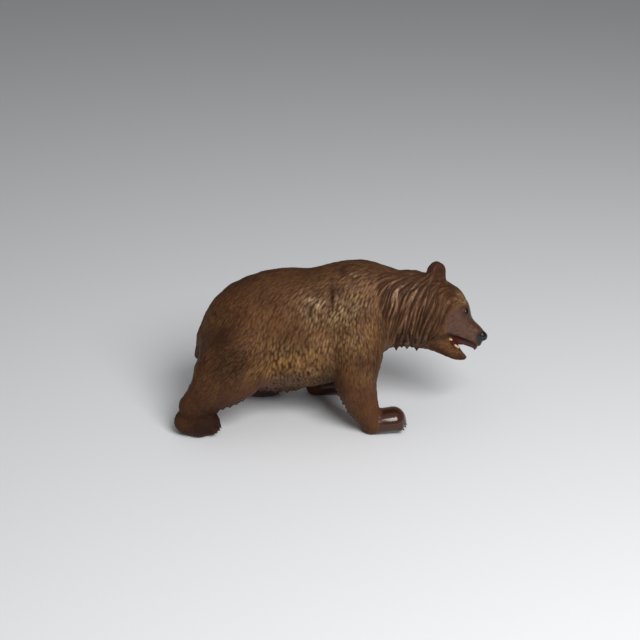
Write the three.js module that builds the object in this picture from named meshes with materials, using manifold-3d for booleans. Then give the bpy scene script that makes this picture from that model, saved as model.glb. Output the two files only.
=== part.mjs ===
// A carved wooden bear walking, with two glass eyes. Millimetres, +X towards the nose, +Y to the
// bear's left, +Z up. The origin is on the ground, under the middle of the bear.
import * as THREE from "three";
import { mergeVertices } from "three/addons/utils/BufferGeometryUtils.js";
import Module from "manifold-3d";

// Driving sizes
const bearLength = 250; // heel of the trailing hind paw to the tip of the nose
const eyeDiameter = 4.4; // glass bead
const eyeSeatGap = 0.3; // between the bead and its socket, all round
const eyeProud = 1.1; // how far the bead stands out of its socket's rim
const beadFacets = [14, 9]; // round and down each bead and its socket
const skinStep = 1.9; // spacing of the sample grid that the skin is drawn on
const carvingTriangles = 8900; // how many faces the carving keeps
const gridRoom = 1.5; // figure units, between the figure and the edge of the sample grid

// The figure is one free form, so its pose and proportions are shares of its length: every
// place and radius from here to the skin is in figure units, of which figureSpan make bearLength.
const figureSpan = 97.25;
const unit = bearLength / figureSpan;

// Chains of balls, as [x, y, z, radius]; a smooth hull is drawn along each chain.
const trunk = [
  [-26, 0, 25.8, 15.2],
  [-21.4, 0, 28.2, 18],
  [-14, 0, 29.5, 19],
  [-7, 0, 29.2, 18.9],
  [-1, 0, 29.9, 17.7],
  [3.6, 0, 31, 16],
];
const paunch = [
  [-27, 0, 13.6, 3],
  [-21, 0, 12, 3.2],
  [-14, 0, 11.2, 3.2],
  [-9.6, 0, 11.6, 2.7],
];
const humpAndNeck = [
  [3, 0, 37.5, 12.8],
  [8, 0, 37.7, 13.4],
  [14, 0, 36.4, 12.7],
  [19, 0, 35.9, 11.8],
  [24, 0, 35.6, 11.8],
  [28.6, 0, 34.6, 10.8],
  [31.6, 0, 33.8, 8.8],
];
const tail = [
  [-39, 0, 26, 2.6],
  [-41.1, 0, 20.8, 1.6],
];
const trunkSqueeze = 1.28; // how much higher than wide the trunk is
const neckSqueeze = 1.3;
// Legs, from the shoulder or hip down, and the paw from its heel to its toes. y counts outwards.
const legs = {
  rightFore: {
    side: -1,
    bones: [
      [7.2, 7.2, 31.5, 9.2],
      [7.9, 10.6, 25, 7.4],
      [6.9, 12.2, 17, 6.5],
      [8.3, 12.8, 11, 5.3],
      [10, 13.1, 6.5, 4.5],
    ],
    paw: [
      [11.9, 13.5, 2.9, 3.75],
      [18.6, 13.1, 3.5, 3.9],
    ],
  },
  rightHind: {
    side: -1,
    bones: [
      [-27, 6, 25.5, 11],
      [-31, 9.2, 20.6, 10.7],
      [-36.6, 11.4, 14.6, 7],
      [-42.6, 12, 8.6, 4.8],
    ],
    paw: [
      [-45.1, 11.9, 3.9, 3.9],
      [-41.2, 12.7, 3.2, 4.15],
      [-38.6, 12.4, 3.2, 3.7],
    ],
  },
  leftFore: {
    side: 1,
    bones: [
      [6, 7, 31, 9.4],
      [2.4, 10.6, 22, 7.8],
      [-2.6, 12.2, 16.2, 6.6],
      [-4.6, 12.8, 11, 5.2],
      [-4.6, 13, 6.5, 4.5],
    ],
    paw: [
      [-4.2, 13, 2.9, 3.6],
      [3.2, 13, 3.6, 3.8],
    ],
  },
  leftHind: {
    side: 1,
    bones: [
      [-25, 6, 25.5, 11],
      [-19.6, 9.2, 20, 9.8],
      [-18.2, 12, 14, 7.2],
      [-22.5, 13, 8.4, 4.9],
    ],
    paw: [
      [-25.8, 12.6, 3.9, 3.9],
      [-21.9, 13.2, 3.2, 4.15],
      [-19.3, 13, 3.2, 3.7],
    ],
  },
};
const pawSqueeze = 0.86; // paws are wider than they are high
const toes = 5;
const toeSpread = 3.1; // from the middle toe to the outer ones
const toeRadius = 1.25;
const clawLength = 1.1;

// The head has a frame of its own: [forwards along the muzzle, sideways, towards the crown].
const headAt = [35.2, 0, 32];
const headPitch = 34; // degrees, nose down
const headTurn = -15; // degrees about the crown, nose to the bear's right
const headTilt = -14; // degrees about the muzzle, left ear down
const cranium = [
  [-5.6, 0, 1.7, 7.5],
  [-2.2, 0, 2.6, 7.15],
  [0.4, 0, 2.7, 5.9],
];
const cheek = [
  [-6.4, 3.2, -3.4, 5.6],
  [-0.2, 3, -3.2, 4.2],
];
const muzzle = [
  [3.4, 0, 0.9, 4.7],
  [7.2, 0, 1.1, 3.5],
  [10.2, 0, 1.45, 2.7],
  [11.8, 0, 1.5, 2.15],
];
const lip = [
  [4.6, 2.2, -1.7, 1.6],
  [8, 1.8, -1, 1.3],
  [11.4, 0.9, -0.1, 1.1],
  [13.05, 0.3, -0.5, 1.05],
];
const nose = [
  [11.9, 0, 1.75, 1.4],
  [13.1, 0, 2.1, 1.42],
];
const brow = [
  [-1.8, 3, 5.4, 2.3],
  [2.6, 2.4, 5.3, 1.6],
];
const jaw = [
  [-3, 0, -6.2, 4.2],
  [2.4, 0, -7.05, 3.55],
  [6.9, 0, -7.4, 2.5],
  [10, 0, -7.1, 1.85],
  [12, 0, -6.6, 1.05],
];
const gape = [
  [8.4, 0, -4.5, 0.1],
  [10, 0, -4.35, 0.85],
  [12.2, 0, -4.4, 1.4],
  [15, 0, -4.6, 1.7],
];
const mouth = [
  [2.4, 3.8, -3.95, 0.3],
  [4.4, 3.7, -3.95, 0.75],
  [7.3, 3.4, -3.75, 1.5],
  [10.1, 2.9, -3.6, 2.1],
  [14, 2.4, -3.5, 2.4],
];
const gum = [
  [4.4, 0, -3.6, 2],
  [8.2, 0, -2.8, 1.75],
  [10.2, 0, -2.1, 1.4],
  [12.3, 0, -1.7, 1.15],
  [13.1, 0, -2.1, 0.7],
];
const fang = [
  [13, 0.8, -1.6, 0.5],
  [13.4, 0.75, -2.75, 0.18],
];
const tongue = [
  [5, 0, -5.1, 1],
  [8.4, 0, -5.3, 0.8],
  [10, 0, -5.5, 0.5],
];
const ear = { at: [-9.9, 5.1, 8.8], high: 4.4, wide: 3.7, thick: 1.6 };
const earHollow = { low: 0.5, high: 3.5, wide: 2.7, deep: 1.35 };
const nostril = [
  [14.2, 0.8, 2, 0.42],
  [13.3, 1.65, 1.6, 0.3],
];
const eyeAt = [3.5, 3.3, 4.9];

// Rows of pointed locks, where the coat ends in a ragged edge: how many, the way they point,
// how long and how thick each is.
const bellyLocks = { count: 11, lean: [-0.3, 0.15, -1], long: 2.3, thick: 1.2 };
const throatLocks = { count: 6, lean: [-0.05, 0.1, -1], long: 4.5, thick: 1.8 };
const hindLocks = { count: 9, lean: [-0.75, 0.1, -0.65], long: 2.6, thick: 1.2 };
const elbowLocks = { count: 9, lean: [-0.75, 0, -0.65], long: 1.7, thick: 1.05 };
const thighLocks = { count: 7, lean: [0.1, 0.1, -1], long: 1.6, thick: 1.1 };
const lockTip = 0.2; // radius
// Long locks down the neck, as folds between two places, leaning back, and fading in over a stretch
const neckFolds = { pitch: 3.1, deep: 0.42, from: 15, to: 34, fadeIn: 4, fadeOut: 3 };
const foldLean = { slope: 0.28, height: 36 };
const foldTop = { height: 50, fade: 12 };

// How softly each part runs into the next
const blends = { neck: 3.5, paunch: 3, leg: 3, paw: 1.2, toe: 0.5, claw: 0.3, tail: 2 };
const lockBlends = { leg: 0.8, body: 1 };
const headBlends = { whole: 2.5, cheek: 2.5, brow: 1.6, muzzle: 1.8, lip: 1, jaw: 1.2, nose: 0.5 };
const mouthBlends = { hollow: 0.4, gum: 0.3, fang: 0.2, tongue: 0.3, gape: 0.3, nostril: 0.2 };
const earBlends = { hollow: 0.5, root: 0.9 };

// Small vector helpers
const mix = (a, b, t) => a + (b - a) * t;
const clamp01 = (t) => (t < 0 ? 0 : t > 1 ? 1 : t);
const span = (x, y, z) => Math.sqrt(x * x + y * y + z * z);
const smoothUnion = (a, b, k) => {
  const h = Math.max(k - Math.abs(a - b), 0) / k;
  return Math.min(a, b) - (h * h * k) / 4;
};
const smoothCut = (a, b, k) => -smoothUnion(-a, b, k);

// Turns head places into body places, and back.
const headTurned = new THREE.Matrix4()
  .makeTranslation(...headAt)
  .multiply(new THREE.Matrix4().makeRotationY(THREE.MathUtils.degToRad(headPitch)))
  .multiply(new THREE.Matrix4().makeRotationZ(THREE.MathUtils.degToRad(headTurn)))
  .multiply(new THREE.Matrix4().makeRotationX(THREE.MathUtils.degToRad(headTilt)));
const headBack = headTurned.clone().invert().elements;
const toHead = (x, y, z) => [
  headBack[0] * x + headBack[4] * y + headBack[8] * z + headBack[12],
  headBack[1] * x + headBack[5] * y + headBack[9] * z + headBack[13],
  headBack[2] * x + headBack[6] * y + headBack[10] * z + headBack[14],
];
const fromHead = (place) => new THREE.Vector3(...place).applyMatrix4(headTurned);

// A chain's balls, with more of them on a smooth curve through the given ones.
function smoothChain(balls, between = 3) {
  const chain = [];
  for (let i = 0; i + 1 < balls.length; i++) {
    const p = [balls[Math.max(i - 1, 0)], balls[i], balls[i + 1]];
    p.push(balls[Math.min(i + 2, balls.length - 1)]);
    for (let s = 0; s < between; s++) {
      const t = s / between;
      chain.push(
        p[1].map((_, c) => {
          const [a, b, d, e] = p.map((ball) => ball[c]);
          const bend = 2 * a - 5 * b + 4 * d - e;
          return 0.5 * (2 * b + (d - a) * t + bend * t * t + (3 * b - a - 3 * d + e) * t ** 3);
        }),
      );
    }
  }
  chain.push(balls[balls.length - 1]);
  return chain;
}

// A hull along a chain of balls, ready for distances. squeeze above 1 makes it narrower sideways
// than it is high. Each segment holds its first ball, the way to its second, and both radii.
function hullOf(balls, squeeze = 1) {
  const segments = [];
  for (let i = 0; i + 1 < balls.length; i++) {
    const [ax, ay, az, ar] = balls[i];
    const [bx, by, bz, br] = balls[i + 1];
    const way = [bx - ax, (by - ay) * squeeze, bz - az];
    segments.push(ax, ay * squeeze, az, ...way, span(...way) ** 2, ar, br - ar);
  }
  const middle = [0, 1, 2].map((c) => {
    const at = balls.map((ball) => ball[c] * (c === 1 ? squeeze : 1));
    return (Math.min(...at) + Math.max(...at)) / 2;
  });
  const reach = Math.max(
    ...balls.map(([x, y, z, r]) =>
      span(x - middle[0], y * squeeze - middle[1], z - middle[2]) + r),
  );
  return { segments: Float64Array.from(segments), squeeze, middle, reach };
}

function hullDistance({ segments, squeeze, middle, reach }, x, y, z) {
  const wide = y * squeeze;
  const off = span(x - middle[0], wide - middle[1], z - middle[2]) - reach;
  if (off > farOff) return off;
  let nearest = Infinity;
  for (let i = 0; i < segments.length; i += 9) {
    const px = x - segments[i];
    const py = wide - segments[i + 1];
    const pz = z - segments[i + 2];
    const lx = segments[i + 3];
    const ly = segments[i + 4];
    const lz = segments[i + 5];
    const t = clamp01((px * lx + py * ly + pz * lz) / segments[i + 6]);
    const dx = px - t * lx;
    const dy = py - t * ly;
    const dz = pz - t * lz;
    const gap = span(dx, dy, dz) - segments[i + 7] - t * segments[i + 8];
    if (gap < nearest) nearest = gap;
  }
  return nearest;
}
const farOff = 5; // past this a hull is too far away to blend, and its distance may be rough

// The ball at a share of the way along a chain.
function ballAlong(balls, share) {
  const at = share * (balls.length - 1);
  const i = Math.min(Math.floor(at), balls.length - 2);
  return balls[i].map((v, c) => mix(v, balls[i + 1][c], at - i));
}

// A row of locks on a chain's hull, on the side that the vector outwards points to.
function locksOn(balls, squeeze, [from, to], outwards, sideways, row) {
  const size = span(...outwards);
  return Array.from({ length: row.count }, (_, i) => {
    const [x, y, z, r] = ballAlong(balls, mix(from, to, i / (row.count - 1)));
    const stretch = i % 2 ? 1 : 0.82; // every other lock is shorter
    const sunk = r - row.thick * 0.9;
    const root = [
      x + (outwards[0] / size) * sunk,
      y + (sideways * (outwards[1] / size) * sunk) / squeeze,
      z + (outwards[2] / size) * sunk,
    ];
    const lean = [row.lean[0], row.lean[1] * sideways, row.lean[2]];
    const long = (row.long * stretch) / span(...lean);
    return hullOf([
      [...root, row.thick],
      [...root.map((v, c) => v + lean[c] * long), lockTip],
    ]);
  });
}

const trunkBalls = smoothChain(trunk);
const neckBalls = smoothChain(humpAndNeck);
const trunkHull = hullOf(trunkBalls, trunkSqueeze);
const neckHull = hullOf(neckBalls, neckSqueeze);
const paunchBalls = smoothChain(paunch);
const paunchHull = hullOf(paunchBalls);
const tailHull = hullOf(tail);
const outwardsOn = (side, balls) => balls.map(([x, y, z, r]) => [x, side * y, z, r]);
const limbs = Object.entries(legs).map(([name, { side, bones, paw }]) => {
  const boneBalls = smoothChain(outwardsOn(side, bones));
  const hind = name.endsWith("Hind");
  return {
    leg: hullOf(boneBalls),
    foot: hullOf(outwardsOn(side, paw), pawSqueeze),
    toes: toesOf(paw[paw.length - 1], side),
    locks: hind
      ? [
          ...locksOn(boneBalls, 1, [0.2, 0.92], [-1, 0.35, 0.25], side, hindLocks),
          ...locksOn(boneBalls, 1, [0.3, 0.85], [0.45, 0.3, -0.85], side, thighLocks),
        ]
      : locksOn(boneBalls, 1, [0.4, 0.95], [-1, 0.2, -0.15], side, elbowLocks),
  };
});
const bodyLocks = [-1, 1].flatMap((side) => [
  ...locksOn(paunchBalls, 1, [0, 1], [0, 0.8, -0.6], side, bellyLocks),
  ...locksOn(neckBalls, neckSqueeze, [0.435, 0.975], [0, 0.3, -0.95], side, throatLocks),
]);

// Toes fan out over the front of the paw, each with a claw that reaches the ground.
function toesOf([x, y, z, r], side) {
  return Array.from({ length: toes }, (_, i) => {
    const turn = (i / (toes - 1)) * 2 - 1;
    const at = [x + r * mix(0.72, 0.42, turn * turn), side * y + turn * toeSpread, z * 0.7];
    const tip = [at[0] + clawLength, at[1] + turn * 0.3, 0.35];
    return { toe: [...at, toeRadius], claw: hullOf([[...at, 0.75], [...tip, 0.25]]) };
  });
}
const ballDistance = ([bx, by, bz, br], x, y, z) => span(x - bx, y - by, z - bz) - br;

// The balls of the head, the ball that holds them all, and the box of the sample grid, which lies
// around every ball of the figure.
const headBalls = [cranium, cheek, muzzle, nose, brow, jaw, [[...ear.at, ear.high]]].flat();
const headReach = Math.max(...headBalls.map(([f, s, n, r]) => span(f, s, n) + r));
const everyBall = [
  ...trunkBalls,
  ...neckBalls,
  ...tail,
  ...Object.values(legs).flatMap(({ side, bones, paw }) => outwardsOn(side, [...bones, ...paw])),
  ...headBalls.flatMap(([f, s, n, r]) =>
    [-s, s].map((across) => [...fromHead([f, across, n]).toArray(), r])),
];
const gridLow = [0, 1, 2].map(
  (c) => Math.min(...everyBall.map((ball) => ball[c] - ball[3])) - gridRoom,
);
const gridHigh = [0, 1, 2].map(
  (c) => Math.max(...everyBall.map((ball) => ball[c] + ball[3])) + gridRoom,
);

const head = {
  cranium: hullOf(cranium, 1.08),
  cheek: hullOf(cheek),
  brow: hullOf(brow),
  muzzle: hullOf(smoothChain(muzzle), 1.1),
  lip: hullOf(lip),
  jaw: hullOf(smoothChain(jaw), 0.95),
  mouth: hullOf(mouth),
  gum: hullOf(gum),
  gape: hullOf(gape, 0.42),
  fang: hullOf(fang),
  nostril: hullOf(nostril),
  tongue: hullOf(tongue, 0.6),
  nose: hullOf(nose, 0.8),
};

// An ear is a thick round leaf, hollowed on the face that looks forwards and outwards.
function earDistance(f, s, n) {
  const away = [f - ear.at[0], s - ear.at[1], n - ear.at[2]];
  const off = span(...away) - ear.high;
  if (off > farOff) return off;
  const up = [-0.5, 0.12, 0.86];
  const face = [0.7, 0.68, 0.2];
  const along = away[0] * up[0] + away[1] * up[1] + away[2] * up[2];
  const out = away[0] * face[0] + away[1] * face[1] + away[2] * face[2];
  const across = Math.sqrt(Math.max(0, (off + ear.high) ** 2 - along ** 2 - out ** 2));
  const leaf = span(along / ear.high, across / ear.wide, out / ear.thick) - 1;
  const hollow = span(
    (along + earHollow.low) / earHollow.high,
    across / earHollow.wide,
    (out - ear.thick) / earHollow.deep,
  );
  return smoothCut(leaf * ear.thick, (hollow - 1) * ear.thick, earBlends.hollow);
}

function headDistance(x, y, z) {
  const [f, side, n] = toHead(x, y, z);
  const off = span(f, side, n) - headReach;
  if (off > farOff) return off;
  const s = Math.abs(side);
  let d = hullDistance(head.cranium, f, s, n);
  for (const name of ["cheek", "brow", "muzzle", "lip", "jaw"])
    d = smoothUnion(d, hullDistance(head[name], f, s, n), headBlends[name]);
  d = smoothCut(d, hullDistance(head.mouth, f, s, n), mouthBlends.hollow);
  d = smoothUnion(d, hullDistance(head.gum, f, s, n), mouthBlends.gum);
  d = smoothUnion(d, hullDistance(head.tongue, f, s, n), mouthBlends.tongue);
  d = smoothCut(d, hullDistance(head.gape, f, s, n), mouthBlends.gape);
  d = smoothUnion(d, hullDistance(head.fang, f, s, n), mouthBlends.fang);
  d = smoothUnion(d, hullDistance(head.nose, f, s, n), headBlends.nose);
  d = smoothCut(d, hullDistance(head.nostril, f, s, n), mouthBlends.nostril);
  return smoothUnion(d, earDistance(f, s, n), earBlends.root);
}

// Long locks run down the neck, as folds across its length that deepen towards the throat.
function neckFold(x, z) {
  const along = x - foldLean.slope * (z - foldLean.height);
  const starts = clamp01((along - neckFolds.from) / neckFolds.fadeIn);
  const fade = starts * clamp01((neckFolds.to - along) / neckFolds.fadeOut);
  const down = clamp01((foldTop.height - z) / foldTop.fade);
  const wave = Math.abs(Math.sin((Math.PI * along) / neckFolds.pitch));
  return neckFolds.deep * fade * down * (wave - 0.6);
}

// The whole carving, as a signed distance: below 0 inside the wood.
function carvingDistance(x, y, z) {
  let d = hullDistance(trunkHull, x, y, z);
  d = smoothUnion(d, hullDistance(neckHull, x, y, z) - neckFold(x, z), blends.neck);
  d = smoothUnion(d, hullDistance(paunchHull, x, y, z), blends.paunch);
  for (const { leg, foot, toes: digits, locks } of limbs) {
    const sole = hullDistance(foot, x, y, z);
    let limb = smoothUnion(hullDistance(leg, x, y, z), sole, blends.paw);
    if (limb < farOff) {
      for (const { toe, claw } of digits) {
        limb = smoothUnion(limb, ballDistance(toe, x, y, z), blends.toe);
        limb = smoothUnion(limb, hullDistance(claw, x, y, z), blends.claw);
      }
      for (const lock of locks)
        limb = smoothUnion(limb, hullDistance(lock, x, y, z), lockBlends.leg);
    }
    d = smoothUnion(d, limb, blends.leg);
  }
  d = smoothUnion(d, hullDistance(tailHull, x, y, z), blends.tail);
  if (d < farOff)
    for (const lock of bodyLocks) d = smoothUnion(d, hullDistance(lock, x, y, z), lockBlends.body);
  return smoothUnion(d, headDistance(x, y, z), headBlends.whole);
}

// The skin: the zero surface of a distance, drawn with tetrahedra on a regular grid.
const blockCells = 4;
const cubeTetrahedra = [
  [0, 1, 3, 7],
  [0, 5, 1, 7],
  [0, 3, 2, 7],
  [0, 2, 6, 7],
  [0, 4, 5, 7],
  [0, 6, 4, 7],
];
// For each set of corners inside the wood, the corners in an order that keeps faces outwards.
const cornerOrder = {
  1: [0, 1, 2, 3],
  2: [1, 0, 3, 2],
  4: [2, 3, 0, 1],
  8: [3, 2, 1, 0],
  3: [0, 1, 2, 3],
  5: [0, 2, 3, 1],
  9: [0, 3, 1, 2],
  6: [1, 2, 0, 3],
  10: [1, 3, 2, 0],
  12: [2, 3, 0, 1],
};

function skinOf(distance, low, high, step) {
  const count = low.map((v, c) => Math.ceil((high[c] - v) / step / blockCells) * blockCells + 1);
  const [nx, ny, nz] = count;
  const values = new Float32Array(nx * ny * nz);
  const sample = (i, j, k) => distance(low[0] + i * step, low[1] + j * step, low[2] + k * step);
  // A block of samples that the surface can't reach takes the value at its middle.
  const half = blockCells / 2;
  const safe = half * step * Math.sqrt(3) * 1.5;
  for (let k = 0; k < nz; k += blockCells)
    for (let j = 0; j < ny; j += blockCells)
      for (let i = 0; i < nx; i += blockCells) {
        const rough = sample(i + half, j + half, k + half);
        for (let c = k; c < Math.min(k + blockCells, nz); c++)
          for (let b = j; b < Math.min(j + blockCells, ny); b++)
            for (let a = i; a < Math.min(i + blockCells, nx); a++)
              values[a + nx * (b + ny * c)] = Math.abs(rough) > safe ? rough : sample(a, b, c);
      }

  const points = [];
  const faces = [];
  const known = new Map();
  const place = (i) => [
    low[0] + (i % nx) * step,
    low[1] + (Math.floor(i / nx) % ny) * step,
    low[2] + Math.floor(i / (nx * ny)) * step,
  ];
  const crossing = (a, b) => {
    const [lo, hi] = a < b ? [a, b] : [b, a];
    const key = lo * values.length + hi;
    if (!known.has(key)) {
      const t = Math.min(0.94, Math.max(0.06, values[lo] / (values[lo] - values[hi])));
      const from = place(lo);
      const to = place(hi);
      known.set(key, points.length);
      points.push(from.map((v, c) => mix(v, to[c], t)));
    }
    return known.get(key);
  };
  const corner = [...Array(8).keys()].map(
    (b) => (b & 1) + ((b >> 1) & 1) * nx + (b >> 2) * nx * ny,
  );
  for (let k = 0; k + 1 < nz; k++)
    for (let j = 0; j + 1 < ny; j++)
      for (let i = 0; i + 1 < nx; i++) {
        const base = i + nx * (j + ny * k);
        let under = 0;
        for (let b = 0; b < 8; b++) if (values[base + corner[b]] < 0) under++;
        if (under === 0 || under === 8) continue;
        for (const tetrahedron of cubeTetrahedra) {
          const c = tetrahedron.map((t) => base + corner[t]);
          const inside = c.reduce((m, v, b) => m | (values[v] < 0 ? 1 << b : 0), 0);
          if (inside === 0 || inside === 15) continue;
          const flip = !(inside in cornerOrder);
          const order = cornerOrder[flip ? 15 - inside : inside];
          const [p, q, r, s] = order.map((o) => c[o]);
          const pair = [3, 5, 6, 9, 10, 12].includes(inside);
          const loop = pair
            ? [crossing(p, r), crossing(p, s), crossing(q, s), crossing(q, r)]
            : [crossing(p, q), crossing(p, r), crossing(p, s)];
          if (flip) loop.reverse();
          for (let t = 1; t + 1 < loop.length; t++) faces.push([loop[0], loop[t], loop[t + 1]]);
        }
      }
  return { points, faces };
}

// A heap that gives back the entry of least cost.
class CheapestFirst {
  constructor() {
    this.list = [];
  }
  push(entry) {
    const list = this.list;
    let i = list.push(entry) - 1;
    while (i > 0) {
      const up = (i - 1) >> 1;
      if (list[up].cost <= list[i].cost) break;
      [list[up], list[i]] = [list[i], list[up]];
      i = up;
    }
  }
  pop() {
    const list = this.list;
    const top = list[0];
    const last = list.pop();
    if (list.length) {
      list[0] = last;
      for (let i = 0; ; ) {
        const kids = [2 * i + 1, 2 * i + 2].filter((k) => k < list.length);
        const least = kids.reduce((m, k) => (list[k].cost < list[m].cost ? k : m), i);
        if (least === i) break;
        [list[least], list[i]] = [list[i], list[least]];
        i = least;
      }
    }
    return top;
  }
}

// Thins a closed skin to a number of faces: joins the two ends of an edge, always where the
// surface moves least, and never where a face would turn over or the skin would pinch.
function thinned({ points, faces }, wanted) {
  const around = points.map(() => new Set());
  faces.forEach((face, f) => face.forEach((v) => around[v].add(f)));
  const sub = (a, b) => [a[0] - b[0], a[1] - b[1], a[2] - b[2]];
  const cross = (a, b) => [
    a[1] * b[2] - a[2] * b[1],
    a[2] * b[0] - a[0] * b[2],
    a[0] * b[1] - a[1] * b[0],
  ];
  const dot = (a, b) => a[0] * b[0] + a[1] * b[1] + a[2] * b[2];
  const normalOf = (a, b, c) => cross(sub(b, a), sub(c, a));

  // A quadric holds the squared distance to a set of planes, as ten numbers.
  const quadrics = points.map(() => new Float64Array(10));
  for (const face of faces) {
    const [a, b, c] = face.map((v) => points[v]);
    const n = normalOf(a, b, c);
    const size = span(...n) || 1e-12;
    const plane = [...n.map((v) => v / size), -dot(n, a) / size];
    for (const v of face) {
      let q = 0;
      for (let i = 0; i < 4; i++)
        for (let j = i; j < 4; j++) quadrics[v][q++] += plane[i] * plane[j] * size;
    }
  }
  const errorAt = (q, [x, y, z]) =>
    q[0] * x * x + 2 * q[1] * x * y + 2 * q[2] * x * z + 2 * q[3] * x + q[4] * y * y +
    2 * q[5] * y * z + 2 * q[6] * y + q[7] * z * z + 2 * q[8] * z + q[9];
  const bestPlace = (q, a, b) => {
    const rows = new THREE.Matrix3().set(q[0], q[1], q[2], q[1], q[4], q[5], q[2], q[5], q[7]);
    const middle = a.map((v, c) => (v + b[c]) / 2);
    const reach = span(...sub(a, b));
    if (Math.abs(rows.determinant()) > 1e-4) {
      const found = new THREE.Vector3(-q[3], -q[6], -q[8]).applyMatrix3(rows.invert()).toArray();
      if (span(...sub(found, middle)) < reach) return found;
    }
    return [middle, a, b].reduce((m, p) => (errorAt(q, p) < errorAt(q, m) ? p : m));
  };

  const stamp = new Uint32Array(points.length);
  const heap = new CheapestFirst();
  const offer = (a, b) => {
    const q = quadrics[a].map((v, i) => v + quadrics[b][i]);
    const to = bestPlace(q, points[a], points[b]);
    const reach = dot(sub(points[a], points[b]), sub(points[a], points[b]));
    const cost = Math.max(errorAt(q, to), 0) + reach * 1e-4;
    heap.push({ cost, a, b, to, q, stamps: [stamp[a], stamp[b]] });
  };
  faces.forEach(([a, b, c]) => {
    for (const [p, q] of [[a, b], [b, c], [c, a]]) if (p < q) offer(p, q);
  });
  const neighbours = (v) => {
    const found = new Set();
    for (const f of around[v]) for (const w of faces[f]) if (w !== v) found.add(w);
    return found;
  };

  let left = faces.length;
  while (left > wanted && heap.list.length) {
    const { a, b, to, q, stamps } = heap.pop();
    if (stamp[a] !== stamps[0] || stamp[b] !== stamps[1]) continue;
    const shared = [...around[a]].filter((f) => around[b].has(f));
    const near = neighbours(a);
    const common = [...neighbours(b)].filter((v) => near.has(v));
    if (shared.length !== 2 || common.length !== 2) continue;
    const turns = [a, b].some((v) =>
      [...around[v]].some((f) => {
        if (shared.includes(f)) return false;
        const before = faces[f].map((w) => points[w]);
        const after = faces[f].map((w) => (w === v ? to : points[w]));
        const was = normalOf(...before);
        const is = normalOf(...after);
        return dot(was, is) < 0.25 * span(...was) * span(...is);
      }),
    );
    if (turns) continue;
    points[a] = to;
    quadrics[a] = q;
    for (const f of shared) {
      for (const v of faces[f]) around[v].delete(f);
      faces[f] = null;
    }
    for (const f of around[b]) {
      faces[f] = faces[f].map((v) => (v === b ? a : v));
      around[a].add(f);
    }
    around[b].clear();
    stamp[a]++;
    stamp[b]++;
    left -= 2;
    for (const v of neighbours(a)) offer(Math.min(a, v), Math.max(a, v));
  }
  return { points, faces: faces.filter(Boolean) };
}

const wasm = await Module();
wasm.setup();

function solidOf(geometry) {
  const bare = geometry.clone();
  bare.deleteAttribute("normal");
  bare.deleteAttribute("uv");
  const merged = mergeVertices(bare, 1e-4);
  return new wasm.Manifold(
    new wasm.Mesh({
      numProp: 3,
      vertProperties: merged.attributes.position.array,
      triVerts: new Uint32Array(merged.index.array),
    }),
  );
}

function geometryOf(solid) {
  const { vertProperties, triVerts, numProp } = solid.getMesh();
  const places = [];
  for (let i = 0; i < vertProperties.length; i += numProp)
    places.push(vertProperties[i], vertProperties[i + 1], vertProperties[i + 2]);
  const geometry = new THREE.BufferGeometry();
  geometry.setAttribute("position", new THREE.Float32BufferAttribute(places, 3));
  geometry.setIndex(new THREE.BufferAttribute(triVerts, 1));
  geometry.computeVertexNormals();
  return geometry;
}

function skinGeometry({ points, faces }) {
  const used = [...new Set(faces.flat())];
  const index = new Map(used.map((v, i) => [v, i]));
  const geometry = new THREE.BufferGeometry();
  const places = used.flatMap((v) => points[v].map((c) => c * unit));
  geometry.setAttribute("position", new THREE.Float32BufferAttribute(places, 3));
  geometry.setIndex(faces.flat().map((v) => index.get(v)));
  return geometry;
}

// The wood is skinned a little below the ground and cut off flat there, which makes the soles.
function carvingSolid() {
  const skin = skinOf(carvingDistance, gridLow, gridHigh, skinStep / unit);
  let solid = solidOf(skinGeometry(thinned(skin, carvingTriangles)));
  const ground = new THREE.BoxGeometry(bearLength * 2, bearLength, bearLength / 4);
  ground.translate(0, 0, -bearLength / 8);
  solid = solid.subtract(solidOf(ground));
  for (const centre of eyeCentres) {
    const socket = new THREE.SphereGeometry(eyeDiameter / 2 + eyeSeatGap, ...beadFacets);
    socket.translate(centre.x, centre.y, centre.z);
    solid = solid.subtract(solidOf(socket));
  }
  // A claw's tip can be parted from its paw by the ground cut, and is left out.
  return solid.decompose().reduce((most, body) => (body.volume() > most.volume() ? body : most));
}

// Each bead's centre is let into the brow until only eyeProud of it stands out.
function eyeCentre(side) {
  const start = fromHead([eyeAt[0], side * eyeAt[1], eyeAt[2]]);
  const outwards = fromHead([eyeAt[0] + 0.35, side * (eyeAt[1] + 1), eyeAt[2] + 0.3])
    .sub(start)
    .normalize();
  let reach = 0;
  const at = (r) => start.clone().addScaledVector(outwards, r);
  while (carvingDistance(...at(reach).toArray()) < 0) reach += 0.02;
  while (carvingDistance(...at(reach).toArray()) > 0) reach -= 0.02;
  return at(reach).multiplyScalar(unit).addScaledVector(outwards, eyeProud - eyeDiameter / 2);
}
const eyeCentres = [eyeCentre(-1), eyeCentre(1)];

function piece(name, geometry, color, roughness) {
  const mesh = new THREE.Mesh(geometry, new THREE.MeshStandardMaterial({ color, roughness }));
  mesh.name = name;
  return mesh;
}

const carving = piece("bear_carving", geometryOf(carvingSolid()), 0x54301c, 0.5);
const eyes = eyeCentres.map((centre, i) => {
  const bead = piece(
    ["right_eye", "left_eye"][i],
    new THREE.SphereGeometry(eyeDiameter / 2, ...beadFacets),
    0x120b08,
    0.08,
  );
  bead.position.copy(centre);
  return bead;
});

// The group is moved so that the origin is on the ground under the middle of the carving.
const bear = new THREE.Group();
bear.add(carving, ...eyes);
const box = new THREE.Box3().setFromObject(bear);
const middle = box.getCenter(new THREE.Vector3());
for (const mesh of bear.children) mesh.position.sub(new THREE.Vector3(middle.x, middle.y, 0));

export default bear;
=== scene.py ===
import math
import time

import bmesh
import bpy
import numpy as np
from mathutils import Matrix, Vector
from mathutils.kdtree import KDTree


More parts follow.
